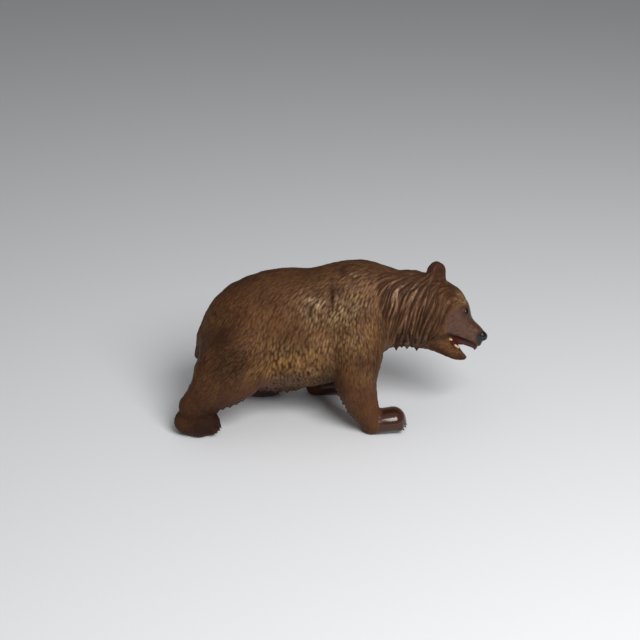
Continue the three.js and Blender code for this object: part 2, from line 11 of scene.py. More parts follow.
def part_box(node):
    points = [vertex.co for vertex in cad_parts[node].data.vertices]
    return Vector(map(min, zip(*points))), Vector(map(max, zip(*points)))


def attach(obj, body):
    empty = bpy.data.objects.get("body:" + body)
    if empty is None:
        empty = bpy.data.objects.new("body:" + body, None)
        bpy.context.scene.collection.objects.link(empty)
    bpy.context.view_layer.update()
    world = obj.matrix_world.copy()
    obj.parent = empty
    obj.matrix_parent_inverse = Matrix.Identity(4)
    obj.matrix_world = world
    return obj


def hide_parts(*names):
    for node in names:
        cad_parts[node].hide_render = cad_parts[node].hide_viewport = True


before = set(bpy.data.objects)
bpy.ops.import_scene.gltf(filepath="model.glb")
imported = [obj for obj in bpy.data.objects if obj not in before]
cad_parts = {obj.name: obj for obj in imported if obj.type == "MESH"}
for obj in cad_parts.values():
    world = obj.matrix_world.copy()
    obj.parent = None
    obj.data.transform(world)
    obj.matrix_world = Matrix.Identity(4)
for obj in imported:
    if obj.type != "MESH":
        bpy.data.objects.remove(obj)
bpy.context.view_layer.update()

started = time.time()


def report(stage):
    print(f"{time.time() - started:6.1f} s  {stage}")


# Camera: looks down on the bear's right side
view = {
    "azimuth": -2.5,  # degrees, 0 looks along +Y
    "elevation": 24.0,
    "distance": 1.034,  # metres
    "lens": 70.875,  # mm, on a 36 mm sensor
    "pictureSide": 640,
    "originAt": (330.0, 411.0),  # where the ground under the bear shows, in pixels
}


def makeCamera():
    azimuth, elevation = math.radians(view["azimuth"]), math.radians(view["elevation"])
    right = Vector((math.cos(azimuth), math.sin(azimuth), 0))
    level = Vector((-math.sin(azimuth), math.cos(azimuth), 0))
    forward = level * math.cos(elevation) - Vector((0, 0, math.sin(elevation)))
    up = right.cross(forward)
    side = view["pictureSide"]
    focal = view["lens"] / 36 * side
    perPixel = view["distance"] / focal
    acrossOff = (view["originAt"][0] - side / 2) * perPixel
    downOff = (view["originAt"][1] - side / 2) * perPixel
    place = -right * acrossOff + up * downOff - forward * view["distance"]
    data = bpy.data.cameras.new("camera")
    data.lens = view["lens"]
    data.sensor_width = 36
    data.clip_start = 0.01
    data.clip_end = 50
    camera = bpy.data.objects.new("camera", data)
    camera.matrix_world = Matrix((
        (right.x, up.x, -forward.x, place.x),
        (right.y, up.y, -forward.y, place.y),
        (right.z, up.z, -forward.z, place.z),
        (0, 0, 0, 1),
    ))
    bpy.context.scene.collection.objects.link(camera)
    bpy.context.scene.camera = camera


makeCamera()
bpy.context.scene.view_settings.view_transform = "Standard"
report("camera set")

# The carving. Its form is drawn in figure units, of which figureSpan make the bear's length.
# Chains hold balls as (x, y, z, radius), and a smooth hull is drawn along each chain.
carving = {
    "length": 0.250,  # metres, trailing heel to nose
    "figureSpan": 97.25,
    "middle": (-0.3463, -0.2986, 0),  # figure units, the place that lies on the frame's origin
    "voxel": 0.00052,  # metres, spacing of the samples
    "sampled": ((-52, -22, -1.5), (54, 22, 56)),  # the corners of the sampled space
    "triangles": 196000,
    "trunk": [
        (-26, 0, 25.8, 15.2), (-21.4, 0, 28.2, 18), (-14, 0, 29.5, 19),
        (-7, 0, 29.2, 18.9), (-1, 0, 29.9, 17.7), (3.6, 0, 31, 16),
    ],
    "trunkSqueeze": 1.28,  # how much higher than wide
    "paunch": [(-27, 0, 13.6, 3), (-21, 0, 12, 3.2), (-14, 0, 11.2, 3.2), (-9.6, 0, 11.6, 2.7)],
    "neck": [
        (3, 0, 37.5, 12.8), (8, 0, 37.7, 13.4), (14, 0, 36.4, 12.7), (19, 0, 35.9, 11.8),
        (24, 0, 35.6, 11.8), (28.6, 0, 34.6, 10.8), (31.6, 0, 33.8, 8.8),
    ],
    "neckSqueeze": 1.3,
    "tail": [(-39, 0, 26, 2.6), (-41.1, 0, 20.8, 1.6)],
    "pawSqueeze": 0.86,
    "neckFolds": (3.1, 0.42, 15, 34),  # pitch, depth, first and last place
    # How softly each part runs into the rest
    "soft": {
        "neck": 3.5, "paunch": 3, "leg": 3, "foot": 1.2, "toe": 0.5,
        "legLock": 0.8, "tail": 2, "lock": 1, "head": 2.5, "ear": 0.9,
    },
}
limbForms = {
    "rightFore": {
        "side": -1,
        "bones": [
            (7.2, 7.2, 31.5, 9.2), (7.9, 10.6, 25, 7.4), (6.9, 12.2, 17, 6.5),
            (8.3, 12.8, 11, 5.3), (10, 13.1, 6.5, 4.5),
        ],
        "paw": [(11.9, 13.5, 2.9, 3.75), (18.6, 13.1, 3.5, 3.9)],
    },
    "rightHind": {
        "side": -1,
        "bones": [(-27, 6, 25.5, 11), (-31, 9.2, 20.6, 10.7), (-36.6, 11.4, 14.6, 7), (-42.6, 12, 8.6, 4.8)],
        "paw": [(-45.1, 11.9, 3.9, 3.9), (-41.2, 12.7, 3.2, 4.15), (-38.6, 12.4, 3.2, 3.7)],
    },
    "leftFore": {
        "side": 1,
        "bones": [
            (6, 7, 31, 9.4), (2.4, 10.6, 22, 7.8), (-2.6, 12.2, 16.2, 6.6),
            (-4.6, 12.8, 11, 5.2), (-4.6, 13, 6.5, 4.5),
        ],
        "paw": [(-4.2, 13, 2.9, 3.6), (3.2, 13, 3.6, 3.8)],
    },
    "leftHind": {
        "side": 1,
        "bones": [(-25, 6, 25.5, 11), (-19.6, 9.2, 20, 9.8), (-18.2, 12, 14, 7.2), (-22.5, 13, 8.4, 4.9)],
        "paw": [(-25.8, 12.6, 3.9, 3.9), (-21.9, 13.2, 3.2, 4.15), (-19.3, 13, 3.2, 3.7)],
    },
}
toeForm = {"count": 5, "spread": 3.1, "radius": 1.25}
# The head has a frame of its own: forwards along the muzzle, sideways, towards the crown
headForm = {
    "at": (35.2, 0, 32),
    "pitch": 34,  # degrees, nose down
    "turn": -15,  # nose to the bear's right
    "tilt": -14,  # left ear down
    "earAt": (-9.9, 5.1, 8.8),
    "earHigh": 4.4,
    "earWide": 3.7,
    "earThick": 1.6,
    "earHollow": (0.5, 3.5, 2.7, 1.35),  # how far below the middle, how high, wide and deep
}
headForm["hulls"] = {
    "cranium": [(-5.6, 0, 1.7, 7.5), (-2.2, 0, 2.6, 7.15), (0.4, 0, 2.7, 5.9)],
    "cheek": [(-6.4, 3.2, -3.4, 5.6), (-0.2, 3, -3.2, 4.2)],
    "muzzle": [(3.4, 0, 0.9, 4.7), (7.2, 0, 1.1, 3.5), (10.2, 0, 1.45, 2.7), (11.8, 0, 1.5, 2.15)],
    "lip": [(4.6, 2.2, -1.7, 1.6), (8, 1.8, -1, 1.3), (11.4, 0.9, -0.1, 1.1), (13.05, 0.3, -0.5, 1.05)],
    "nose": [(11.9, 0, 1.75, 1.4), (13.1, 0, 2.1, 1.42)],
    "brow": [(-1.8, 3, 5.4, 2.3), (2.6, 2.4, 5.3, 1.6)],
    "jaw": [(-3, 0, -6.2, 4.2), (2.4, 0, -7.05, 3.55), (6.9, 0, -7.4, 2.5), (10, 0, -7.1, 1.85), (12, 0, -6.6, 1.05)],
    "gape": [(8.4, 0, -4.5, 0.1), (10, 0, -4.35, 0.85), (12.2, 0, -4.4, 1.4), (15, 0, -4.6, 1.7)],
    "gum": [
        (4.4, 0, -3.6, 2), (8.2, 0, -2.8, 1.75), (10.2, 0, -2.1, 1.4),
        (12.3, 0, -1.7, 1.15), (13.1, 0, -2.1, 0.7),
    ],
    "mouth": [
        (2.4, 3.8, -3.95, 0.3), (4.4, 3.7, -3.95, 0.75), (7.3, 3.4, -3.75, 1.5),
        (10.1, 2.9, -3.6, 2.1), (14, 2.4, -3.5, 2.4),
    ],
    "fang": [(13, 0.8, -1.6, 0.5), (13.4, 0.75, -2.75, 0.18)],
    "nostril": [(14.2, 0.8, 2, 0.42), (13.3, 1.65, 1.6, 0.3)],
    "backTeeth": [(5.0, 2.1, -4.5, 0.26), (5.8, 1.95, -4.5, 0.22)],
    "frontTeeth": [(7.7, 1.55, -5.05, 0.23), (8.9, 1.1, -5.22, 0.18)],
    "tongue": [(5, 0, -5.1, 1), (8.4, 0, -5.3, 0.8), (10, 0, -5.5, 0.5)],
}
# Rows of pointed locks: how many, the way they point, how long and how thick, and the shares of
# that length they take in turn
lockRows = {
    "belly": (11, (-0.3, 0.15, -1), 2.3, 1.2, (0.82, 1)),
    "throat": (11, (-0.05, 0.1, -1), 4.3, 2.2, (0.82, 0.7, 0.98, 0.76)),
    "hind": (9, (-0.75, 0.1, -0.65), 2.6, 1.2, (0.82, 1)),
    "elbow": (9, (-0.75, 0, -0.65), 1.7, 1.05, (0.82, 1)),
    "thigh": (7, (0.1, 0.1, -1), 1.6, 1.1, (0.82, 1)),
}
farOff = 5  # figure units; past this a hull's distance may be rough
unit = carving["length"] / carving["figureSpan"]


def smoothUnion(a, b, k):
    h = np.maximum(k - np.abs(a - b), 0) / k
    return np.minimum(a, b) - h * h * k / 4


def smoothCut(a, b, k):
    return -smoothUnion(-a, b, k)


def smoothStep(low, high, v):
    # Falls from 1 to 0 where low is the higher of the two
    t = np.clip((v - low) / (high - low), 0, 1)
    return t * t * (3 - 2 * t)


def smoothChain(balls, between=3):
    balls = np.array(balls, float)
    chain = []
    for i in range(len(balls) - 1):
        a, b, d, e = balls[max(i - 1, 0)], balls[i], balls[i + 1], balls[min(i + 2, len(balls) - 1)]
        for s in range(between):
            t = s / between
            bend = (2 * a - 5 * b + 4 * d - e) * t * t + (3 * b - a - 3 * d + e) * t**3
            chain.append(0.5 * (2 * b + (d - a) * t + bend))
    return np.array(chain + [balls[-1]])


def hullOf(balls, squeeze=1.0):
    balls = np.array(balls, float) * np.array([1, squeeze, 1, 1])
    middle = (balls[:, :3].min(0) + balls[:, :3].max(0)) / 2
    reach = (np.linalg.norm(balls[:, :3] - middle, axis=1) + balls[:, 3]).max()
    return {"balls": balls, "squeeze": squeeze, "middle": middle, "reach": reach}


def hullDistance(hull, p):
    q = p * np.array([1, hull["squeeze"], 1], p.dtype)
    out = np.sqrt(((q - hull["middle"].astype(p.dtype)) ** 2).sum(1)) - p.dtype.type(hull["reach"])
    near = out < farOff
    q = q[near]
    nearest = np.full(len(q), np.inf, p.dtype)
    for first, last in zip(hull["balls"], hull["balls"][1:]):
        way = (last - first)[:3].astype(p.dtype)
        off = q - first[:3].astype(p.dtype)
        t = np.clip(off @ way / (way @ way), 0, 1)
        off -= t[:, None] * way
        gap = np.sqrt(np.einsum("ij,ij->i", off, off)) - p.dtype.type(first[3]) - t * p.dtype.type(last[3] - first[3])
        np.minimum(nearest, gap, out=nearest)
    out[near] = nearest
    return out


def ballDistance(at, radius, p):
    return np.sqrt(((p - np.array(at, p.dtype)) ** 2).sum(1)) - p.dtype.type(radius)


def ballAlong(balls, share):
    at = share * (len(balls) - 1)
    i = min(int(at), len(balls) - 2)
    return balls[i] + (balls[i + 1] - balls[i]) * (at - i)


def locksOn(balls, squeeze, stretch, outwards, side, row):
    count, lean, long, thick, shares = row
    locks = []
    for i in range(count):
        x, y, z, r = ballAlong(balls, stretch[0] + (stretch[1] - stretch[0]) * i / (count - 1))
        way = np.array(outwards) / np.linalg.norm(outwards) * (r - thick * 0.9)
        root = np.array([x + way[0], y + side * way[1] / squeeze, z + way[2]])
        aim = np.array([lean[0], lean[1] * side, lean[2]])
        reach = long * shares[i % len(shares)] / np.linalg.norm(aim)
        locks.append(hullOf([(*root, thick), (*(root + aim * reach), 0.15 * thick)]))
    return locks


def turned(axis, degrees):
    return np.array(Matrix.Rotation(math.radians(degrees), 3, axis))


headTurned = turned("Y", headForm["pitch"]) @ turned("Z", headForm["turn"]) @ turned("X", headForm["tilt"])
headAt = np.array(headForm["at"], float)


def toHead(p):
    return ((p - headAt.astype(p.dtype)) @ headTurned.astype(p.dtype)).astype(p.dtype)


trunkBalls = smoothChain(carving["trunk"])
neckBalls = smoothChain(carving["neck"])
trunkHull = hullOf(trunkBalls, carving["trunkSqueeze"])
neckHull = hullOf(neckBalls, carving["neckSqueeze"])
paunchBalls = smoothChain(carving["paunch"])
paunchHull = hullOf(paunchBalls)
tailHull = hullOf(carving["tail"])
limbs = []
for limbName, limbForm in limbForms.items():
    outer = np.array([1, limbForm["side"], 1, 1])
    boneBalls = smoothChain(np.array(limbForm["bones"]) * outer)
    pawBalls = np.array(limbForm["paw"]) * outer
    tip = np.array(limbForm["paw"][-1])
    toes = []
    for i in range(toeForm["count"]):
        turn = i / (toeForm["count"] - 1) * 2 - 1
        toes.append((
            tip[0] + tip[3] * (0.72 - 0.3 * turn * turn),
            limbForm["side"] * tip[1] + turn * toeForm["spread"],
            tip[2] * 0.7,
        ))
    if limbName.endswith("Hind"):
        locks = locksOn(boneBalls, 1, (0.2, 0.92), (-1, 0.35, 0.25), limbForm["side"], lockRows["hind"])
        locks += locksOn(boneBalls, 1, (0.3, 0.85), (0.45, 0.3, -0.85), limbForm["side"], lockRows["thigh"])
    else:
        locks = locksOn(boneBalls, 1, (0.4, 0.95), (-1, 0.2, -0.15), limbForm["side"], lockRows["elbow"])
    foot = hullOf(pawBalls, carving["pawSqueeze"])
    limbs.append({"leg": hullOf(boneBalls), "foot": foot, "toes": toes, "locks": locks, "bones": boneBalls})
bodyLocks = []
for side in (-1, 1):
    bodyLocks += locksOn(paunchBalls, 1, (0, 1), (0, 0.8, -0.6), side, lockRows["belly"])
    bodyLocks += locksOn(neckBalls, carving["neckSqueeze"], (0.435, 0.975), (0, 0.3, -0.95), side, lockRows["throat"])
headSqueeze = {"cranium": 1.08, "muzzle": 1.1, "jaw": 0.95, "gape": 0.42, "tongue": 0.6, "nose": 0.8}
headHulls = {
    name: hullOf(smoothChain(balls) if name in ("muzzle", "jaw") else balls, headSqueeze.get(name, 1.0))
    for name, balls in headForm["hulls"].items()
}


boxLow, boxHigh = (np.array(corner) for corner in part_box("bear_carving"))
eyeCentres = [np.array(sum(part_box(node), Vector())) / 2 for node in ("right_eye", "left_eye")]
eyeRadius = (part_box("right_eye")[1].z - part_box("right_eye")[0].z) / 2
# Lids over each bead, in figure units: how thick, how softly they join, half the opening's height
# and width, and how softly that is cut
eyeSeat = {"gap": 0.1, "thick": 0.22, "soft": 1.0, "high": 0.72, "wide": 0.56, "edge": 0.2}


def toMetres(place):
    return (np.array(place) - np.array(carving["middle"])) * unit


def toFigure(place):
    return np.array(place) / unit + np.array(carving["middle"])


eyePlaces = [toFigure(centre) for centre in eyeCentres]
eyeInHead = toHead(np.array([eyePlaces[0]], np.float32))[0]
eyeLooks = [headTurned @ np.array([0.35, side, 0.3]) / np.linalg.norm([0.35, 1, 0.3]) for side in (-1, 1)]


def earParts(h):
    away = h - np.array(headForm["earAt"], h.dtype)
    up = np.array([-0.5, 0.12, 0.86])
    face = np.array([0.7, 0.68, 0.2])
    along, out = away @ up.astype(h.dtype), away @ face.astype(h.dtype)
    across = np.sqrt(np.maximum(0, (away**2).sum(1) - along**2 - out**2))
    return along, across, out


def earDistance(h):
    along, across, out = earParts(h)
    high, wide, thick = (headForm[k] for k in ("earHigh", "earWide", "earThick"))
    low, hollowHigh, hollowWide, hollowDeep = headForm["earHollow"]
    leaf = np.sqrt((along / high) ** 2 + (across / wide) ** 2 + (out / thick) ** 2) - 1
    bowl = ((along + low) / hollowHigh) ** 2 + (across / hollowWide) ** 2 + ((out - thick) / hollowDeep) ** 2
    return smoothCut(leaf * thick, (np.sqrt(bowl) - 1) * thick, 0.5)


# What is joined to the cranium or cut from it in turn, and how softly
headJoins = (
    ("cheek", smoothUnion, 2.5), ("brow", smoothUnion, 1.6), ("muzzle", smoothUnion, 1.8), ("lip", smoothUnion, 1.0),
    ("jaw", smoothUnion, 1.2), ("mouth", smoothCut, 0.4), ("gum", smoothUnion, 0.3), ("tongue", smoothUnion, 0.3),
    ("gape", smoothCut, 0.3), ("fang", smoothUnion, 0.2), ("backTeeth", smoothUnion, 0.2),
    ("frontTeeth", smoothUnion, 0.2), ("nose", smoothUnion, 0.5), ("nostril", smoothCut, 0.2),
)


def headDistance(p):
    h = toHead(p)
    out = np.sqrt(((h - np.array([1, 0, 0], h.dtype)) ** 2).sum(1)) - 20
    near = out < farOff
    h = h[near]
    h[:, 1] = np.abs(h[:, 1])
    d = hullDistance(headHulls["cranium"], h)
    for name, join, soft in headJoins:
        d = join(d, hullDistance(headHulls[name], h), soft)
    out[near] = smoothUnion(d, earDistance(h), carving["soft"]["ear"])
    return out


def neckFold(p):
    # Folds that lean forwards and fade at both ends and towards the crest
    pitch, deep, first, last = carving["neckFolds"]
    along = p[:, 0] - 0.28 * (p[:, 2] - 36)
    fade = np.clip((along - first) / 4, 0, 1) * np.clip((last - along) / 3, 0, 1)
    return deep * fade * np.clip((50 - p[:, 2]) / 12, 0, 1) * (np.abs(np.sin(math.pi * along / pitch)) - 0.6)


def woodDistance(p):
    soft = carving["soft"]
    d = smoothUnion(hullDistance(trunkHull, p), hullDistance(neckHull, p) - neckFold(p), soft["neck"])
    d = smoothUnion(d, hullDistance(paunchHull, p), soft["paunch"])
    for limb in limbs:
        whole = smoothUnion(hullDistance(limb["leg"], p), hullDistance(limb["foot"], p), soft["foot"])
        near = whole < farOff
        q, part = p[near], whole[near]
        for toe in limb["toes"]:
            part = smoothUnion(part, ballDistance(toe, toeForm["radius"], q), soft["toe"])
        for lock in limb["locks"]:
            part = smoothUnion(part, hullDistance(lock, q), soft["legLock"])
        whole[near] = part
        d = smoothUnion(d, whole, soft["leg"])
    d = smoothUnion(d, hullDistance(tailHull, p), soft["tail"])
    near = d < farOff
    q, part = p[near], d[near]
    for lock in bodyLocks:
        part = smoothUnion(part, hullDistance(lock, q), soft["lock"])
    d[near] = part
    d = smoothUnion(d, headDistance(p), soft["head"])
    for eye, look in zip(eyePlaces, eyeLooks):
        off = ballDistance(eye, eyeRadius / unit, p)
        near = off < farOff
        q, part = p[near] - eye.astype(p.dtype), d[near]
        out = q @ look.astype(p.dtype)
        up = q @ headTurned[:, 2].astype(p.dtype)
        across = np.sqrt(np.maximum(0, (q**2).sum(1) - out**2 - up**2))
        opening = (np.sqrt((up / eyeSeat["high"]) ** 2 + (across / eyeSeat["wide"]) ** 2) - 1) * eyeSeat["wide"]
        part = smoothUnion(part, off[near] - eyeSeat["thick"], eyeSeat["soft"])
        part = smoothCut(part, np.maximum(opening, -out), eyeSeat["edge"])
        d[near] = np.maximum(part, eyeSeat["gap"] - off[near])
    return np.maximum(d, -p[:, 2])


def threefold(steps):
    return [(a, b, c) for a in steps for b in steps for c in steps]


def sampled(low, high, step):
    # Coarse samples first; only those near the surface are split, twice
    coarse = step * 4
    count = [int(math.ceil((high[c] - low[c]) / coarse)) for c in range(3)]
    axes = [low[c] + (np.arange(count[c]) + 0.5) * coarse - step / 2 for c in range(3)]
    grid = np.stack(np.meshgrid(*axes, indexing="ij"), -1).reshape(-1, 3).astype(np.float32)
    rough = woodDistance(grid)
    values = np.repeat(np.repeat(np.repeat(rough.reshape(count), 4, 0), 4, 1), 4, 2)
    cells = np.argwhere(np.abs(rough.reshape(count)) < coarse * 1.4)
    half = np.array(threefold((0, 1)))
    cells = (cells[:, None] * 2 + half).reshape(-1, 3)
    middle = np.array(low) + (cells + 0.5) * step * 2 - step / 2
    fine = np.abs(woodDistance(middle.astype(np.float32))) < step * 2.9
    cells = (cells[fine][:, None] * 2 + half).reshape(-1, 3)
    places = (np.array(low) + cells * step).astype(np.float32)
    values[tuple(cells.T)] = woodDistance(places)
    return values


def netOf(values):
    # A surface net: one corner for each cell that the surface crosses, one quad for each crossed edge
    inside = values < 0
    nx, ny, nz = values.shape
    full = np.zeros((nx - 1, ny - 1, nz - 1), np.int8)
    offsets = threefold((0, 1))
    for a, b, c in offsets:
        full += inside[a:nx - 1 + a, b:ny - 1 + b, c:nz - 1 + c]
    active = (full > 0) & (full < 8)
    cells = np.argwhere(active)
    index = np.full(active.shape, -1, np.int32)
    index[active] = np.arange(len(cells))
    corner = [values[cells[:, 0] + a, cells[:, 1] + b, cells[:, 2] + c] for a, b, c in offsets]
    total = np.zeros((len(cells), 3))
    crossings = np.zeros(len(cells))
    for a in range(8):
        for b in range(a + 1, 8):
            way = np.subtract(offsets[b], offsets[a])
            if np.abs(way).sum() != 1:
                continue
            crossed = (corner[a] < 0) != (corner[b] < 0)
            t = np.where(crossed, corner[a] / np.where(crossed, corner[a] - corner[b], 1), 0)
            total += np.where(crossed[:, None], np.array(offsets[a]) + t[:, None] * way, 0)
            crossings += crossed
    corners = cells + total / crossings[:, None]
    quads = []
    for axis in range(3):
        u, v = (axis + 1) % 3, (axis + 2) % 3
        here = [slice(1, -1)] * 3
        here[axis] = slice(0, -1)
        there = list(here)
        there[axis] = slice(1, None)
        changed = inside[tuple(here)] != inside[tuple(there)]
        at = np.argwhere(changed)
        at[:, u] += 1
        at[:, v] += 1
        outwards = inside[tuple(at.T)]
        ring = []
        for du, dv in ((-1, -1), (0, -1), (0, 0), (-1, 0)):
            cell = at.copy()
            cell[:, u] += du
            cell[:, v] += dv
            ring.append(index[tuple(cell.T)])
        ring = np.stack(ring, 1)
        ring[~outwards] = ring[~outwards][:, ::-1]
        quads.append(ring)
    return corners, np.concatenate(quads)


def valueAt(values, places):
    # Between the samples, at places counted in grid steps
    base = np.clip(np.floor(places).astype(int), 0, np.array(values.shape) - 2)
    share = places - base
    total = 0
    for a, b, c in threefold((0, 1)):
        weight = (share[:, 0] if a else 1 - share[:, 0]) * (share[:, 1] if b else 1 - share[:, 1])
        weight = weight * (share[:, 2] if c else 1 - share[:, 2])
        total = total + weight * values[base[:, 0] + a, base[:, 1] + b, base[:, 2] + c]
    return total


def settled(values, corners):
    # Each corner goes onto the surface, and gets its outward normal
    for _ in range(2):
        rises = [valueAt(values, corners + way) - valueAt(values, corners - way) for way in np.eye(3)]
        slope = np.stack(rises, 1) / 2
        size = np.maximum((slope**2).sum(1), 1e-9)
        step = valueAt(values, corners) / size
        corners = corners - slope * np.clip(step, -0.5 / size**0.5, 0.5 / size**0.5)[:, None]
    return corners, slope / np.sqrt(size)[:, None]


def ripples(p, size, seed):
    # Smooth random unevenness, about 1 at its peaks
    random = np.random.default_rng(seed)
    total = np.zeros(len(p))
    for _ in range(8):
        way = random.normal(size=3)
        way *= 2 * math.pi / size * random.uniform(0.6, 1.5) / np.linalg.norm(way)
        total += np.sin(p @ way + random.uniform(0, 6.28))
    return total / 3.4


# The way the coat lies, and where there is coat. Sizes in mm.
coat = {
    # One tuft, left standing between gouge cuts
    "stroke": {"pitch": 2.1, "width": 2.1, "length": 6.4, "depth": 0.5, "seed": 11, "tries": 60000},
    # The groove beside a long lock of the neck
    "lock": {"pitch": 3.0, "width": 2.1, "length": 30.0, "depth": 1.3, "seed": 5, "tries": 12000},
    "toe": {"pitch": 1.9, "length": 9.5, "depth": 0.6, "steps": 6},  # the groove between two toes
    "tuft": 0.28,  # how far the coat swells and sinks, over
    "tuftSize": 17,
    "neckFrom": (10, 17),  # figure units, where the long locks begin
    "lengths": (0.75, 1.25),  # each cut's share of the length, width and depth above, at random
    "widths": (1.05, 1.4),
    "depths": (0.65, 1.15),
    "clear": (0.5, 0.84),  # shares of length and pitch that a cut keeps from its neighbours
}
mm = 0.001 / unit  # one millimetre in figure units


def nearestOf(names, h):
    return np.min([hullDistance(headHulls[name], h) for name in names], axis=0)


def furParts(p):
    # The place in the head's frame, and how much it belongs to the trunk, neck, head and each leg
    h = toHead(p)
    h[:, 1] = np.abs(h[:, 1])
    head = nearestOf(("cranium", "cheek", "muzzle", "jaw"), h)
    parts = [hullDistance(trunkHull, p), hullDistance(neckHull, p), head]
    parts += [hullDistance(limb["leg"], p) + 0.6 for limb in limbs]
    parts = np.stack(parts, 1)
    weights = np.exp(-(parts - parts.min(1)[:, None]) / 1.1)
    return h, weights / weights.sum(1)[:, None]


def furFlow(p, normals):
    # The coat lies back and down: upright on the belly, leaning on the shoulder, back along the
    # spine, and in a curve down the neck that turns forward at the throat
    h, weights = furParts(p)
    z, side = p[:, 2], np.sign(p[:, 1] + 1e-6)
    zero, one = np.zeros(len(p)), np.ones(len(p))
    top = smoothStep(0.45, 1.0, normals[:, 2])
    trunk = np.stack([np.interp(z, [10, 17, 27, 36, 47], [0.3, 0.12, -0.08, -0.36, -0.5]), zero, -one], 1)
    trunk += top[:, None] * np.stack([-1.2 * one, 0.9 * side, zero], 1)
    neck = np.stack([np.interp(z, [22, 27, 33, 40, 45, 49], [0.3, 0.12, -0.12, -0.34, -0.55, -0.9]), zero, -one], 1)
    neck += top[:, None] * np.stack([-1.2 * one, 0.5 * side, zero], 1)
    crown = [-8, -3, 2, 5, 8]  # places towards the crown, for the flow of the head
    back = np.interp(h[:, 2], crown, [-0.5, -0.15, -0.15, -0.7, -1.2])
    head = np.stack([back, zero, np.interp(h[:, 2], crown, [-0.8, -1, -1, -0.7, -0.1])], 1)
    flows = [trunk, neck, head @ headTurned.T]
    for limb in limbs:
        way = limb["bones"][-1][:3] - limb["bones"][2][:3]
        way = way / np.linalg.norm(way)
        flows.append(np.tile(np.array([way[0] - 0.12, way[1] * 0.3, way[2]]), (len(p), 1)))
    flow = sum(weights[:, i:i + 1] * f / np.linalg.norm(f, axis=1)[:, None] for i, f in enumerate(flows))
    flow[:, 0] += 0.14 * ripples(p, 22 * mm, 31)  # so that the rows don't run dead straight
    flow -= (flow * normals).sum(1)[:, None] * normals
    return flow / np.maximum(np.linalg.norm(flow, axis=1), 1e-6)[:, None], weights, h


# Where the smooth face meets the coat, how far forwards for each place towards the crown
faceEdgeAt = {
    "crown": [-3.7, -2.7, -0.8, 0.9, 2.1, 4.2, 5.9, 6.6, 8.5],
    "forwards": [2.2, 0.7, -0.3, -1.1, -0.9, -0.5, 0.3, 1.8, 2.3],
}


def pastFaceEdge(h):
    return h[:, 0] - np.interp(h[:, 2], faceEdgeAt["crown"], faceEdgeAt["forwards"])


def bareParts(p):
    # 1 where the wood is left smooth: paws, face and inner ears
    h = toHead(p)
    h[:, 1] = np.abs(h[:, 1])
    foot = np.min([hullDistance(limb["foot"], p) for limb in limbs], axis=0)
    leg = np.min([hullDistance(limb["leg"], p) for limb in limbs], axis=0)
    paw = (1 - smoothStep(0.9, 2.2, foot)) * smoothStep(0.1, 1.1, leg) * (1 - smoothStep(7.5, 9, p[:, 2]))
    for limb in limbs:
        heel = limb["foot"]["balls"][0]
        behind = smoothStep(1.6, 0.2, p[:, 0] - heel[0] - 0.25 * p[:, 2])
        behind = behind * (np.abs(p[:, 1] - limb["toes"][2][1]) < 6) * (np.abs(p[:, 0] - heel[0]) < 7)
        paw = paw * (1 - behind)
    face = smoothStep(-0.35, 0.4, pastFaceEdge(h))
    face = face * (nearestOf(("cranium", "cheek", "muzzle", "jaw", "brow", "gum"), h) < 1.5)
    lipEdge = np.interp(h[:, 0], [2, 5, 9, 13], [-3.7, -4.6, -5.7, -6.2])
    face = face * smoothStep(-0.5, 0.2, h[:, 2] - lipEdge)
    _, across, out = earParts(h)
    ear = (np.abs(earDistance(h)) < 0.5) * smoothStep(0.1, 0.6, out) * (across < headForm["earWide"] * 0.85)
    return paw, face, ear


def strokeSeeds(points, flow, keep, settings, stretch):
    # Throws seeds at random and keeps those clear of their neighbours, along and across the coat
    random = np.random.default_rng(settings["seed"])
    long, wide = settings["length"] * coat["clear"][0] * mm, settings["pitch"] * coat["clear"][1] * mm
    candidates = random.permutation(np.flatnonzero(keep))[:settings["tries"]]
    places = points[candidates].tolist()
    flows = flow[candidates].tolist()
    keys = np.floor(points[candidates] / long).astype(int).tolist()
    sizes = (1 / stretch[candidates] ** 2).tolist()
    around = threefold((-1, 0, 1))
    table, chosen = {}, []
    for n, (x, y, z) in enumerate(places):
        if isClear(table, around, keys[n], (x, y, z), flows[n], long**-2 * sizes[n], wide**-2 * sizes[n]):
            table.setdefault(tuple(keys[n]), []).append((x, y, z))
            chosen.append(n)
    return candidates[chosen]


def isClear(table, around, key, place, way, perLong, perWide):
    x, y, z = place
    fx, fy, fz = way
    for a, b, c in around:
        for ox, oy, oz in table.get((key[0] + a, key[1] + b, key[2] + c), ()):
            ax, ay, az = ox - x, oy - y, oz - z
            along = (ax * fx + ay * fy + az * fz) ** 2
            apart = ax * ax + ay * ay + az * az - along
            if along * perLong + apart * perWide < 1:
                return False
    return True


def ontoSkin(tree, points, normals, place):
    at = tree.find(place)[1]
    return at, place - normals[at] * ((place - points[at]) @ normals[at])


def strokeParts(rows):
    # First and last place, normal, how far along the cut they lie, half the width, depth
    rows = np.array(rows)
    return [rows[:, 0:3], rows[:, 3:6], rows[:, 6:9], *rows[:, 9:].T]


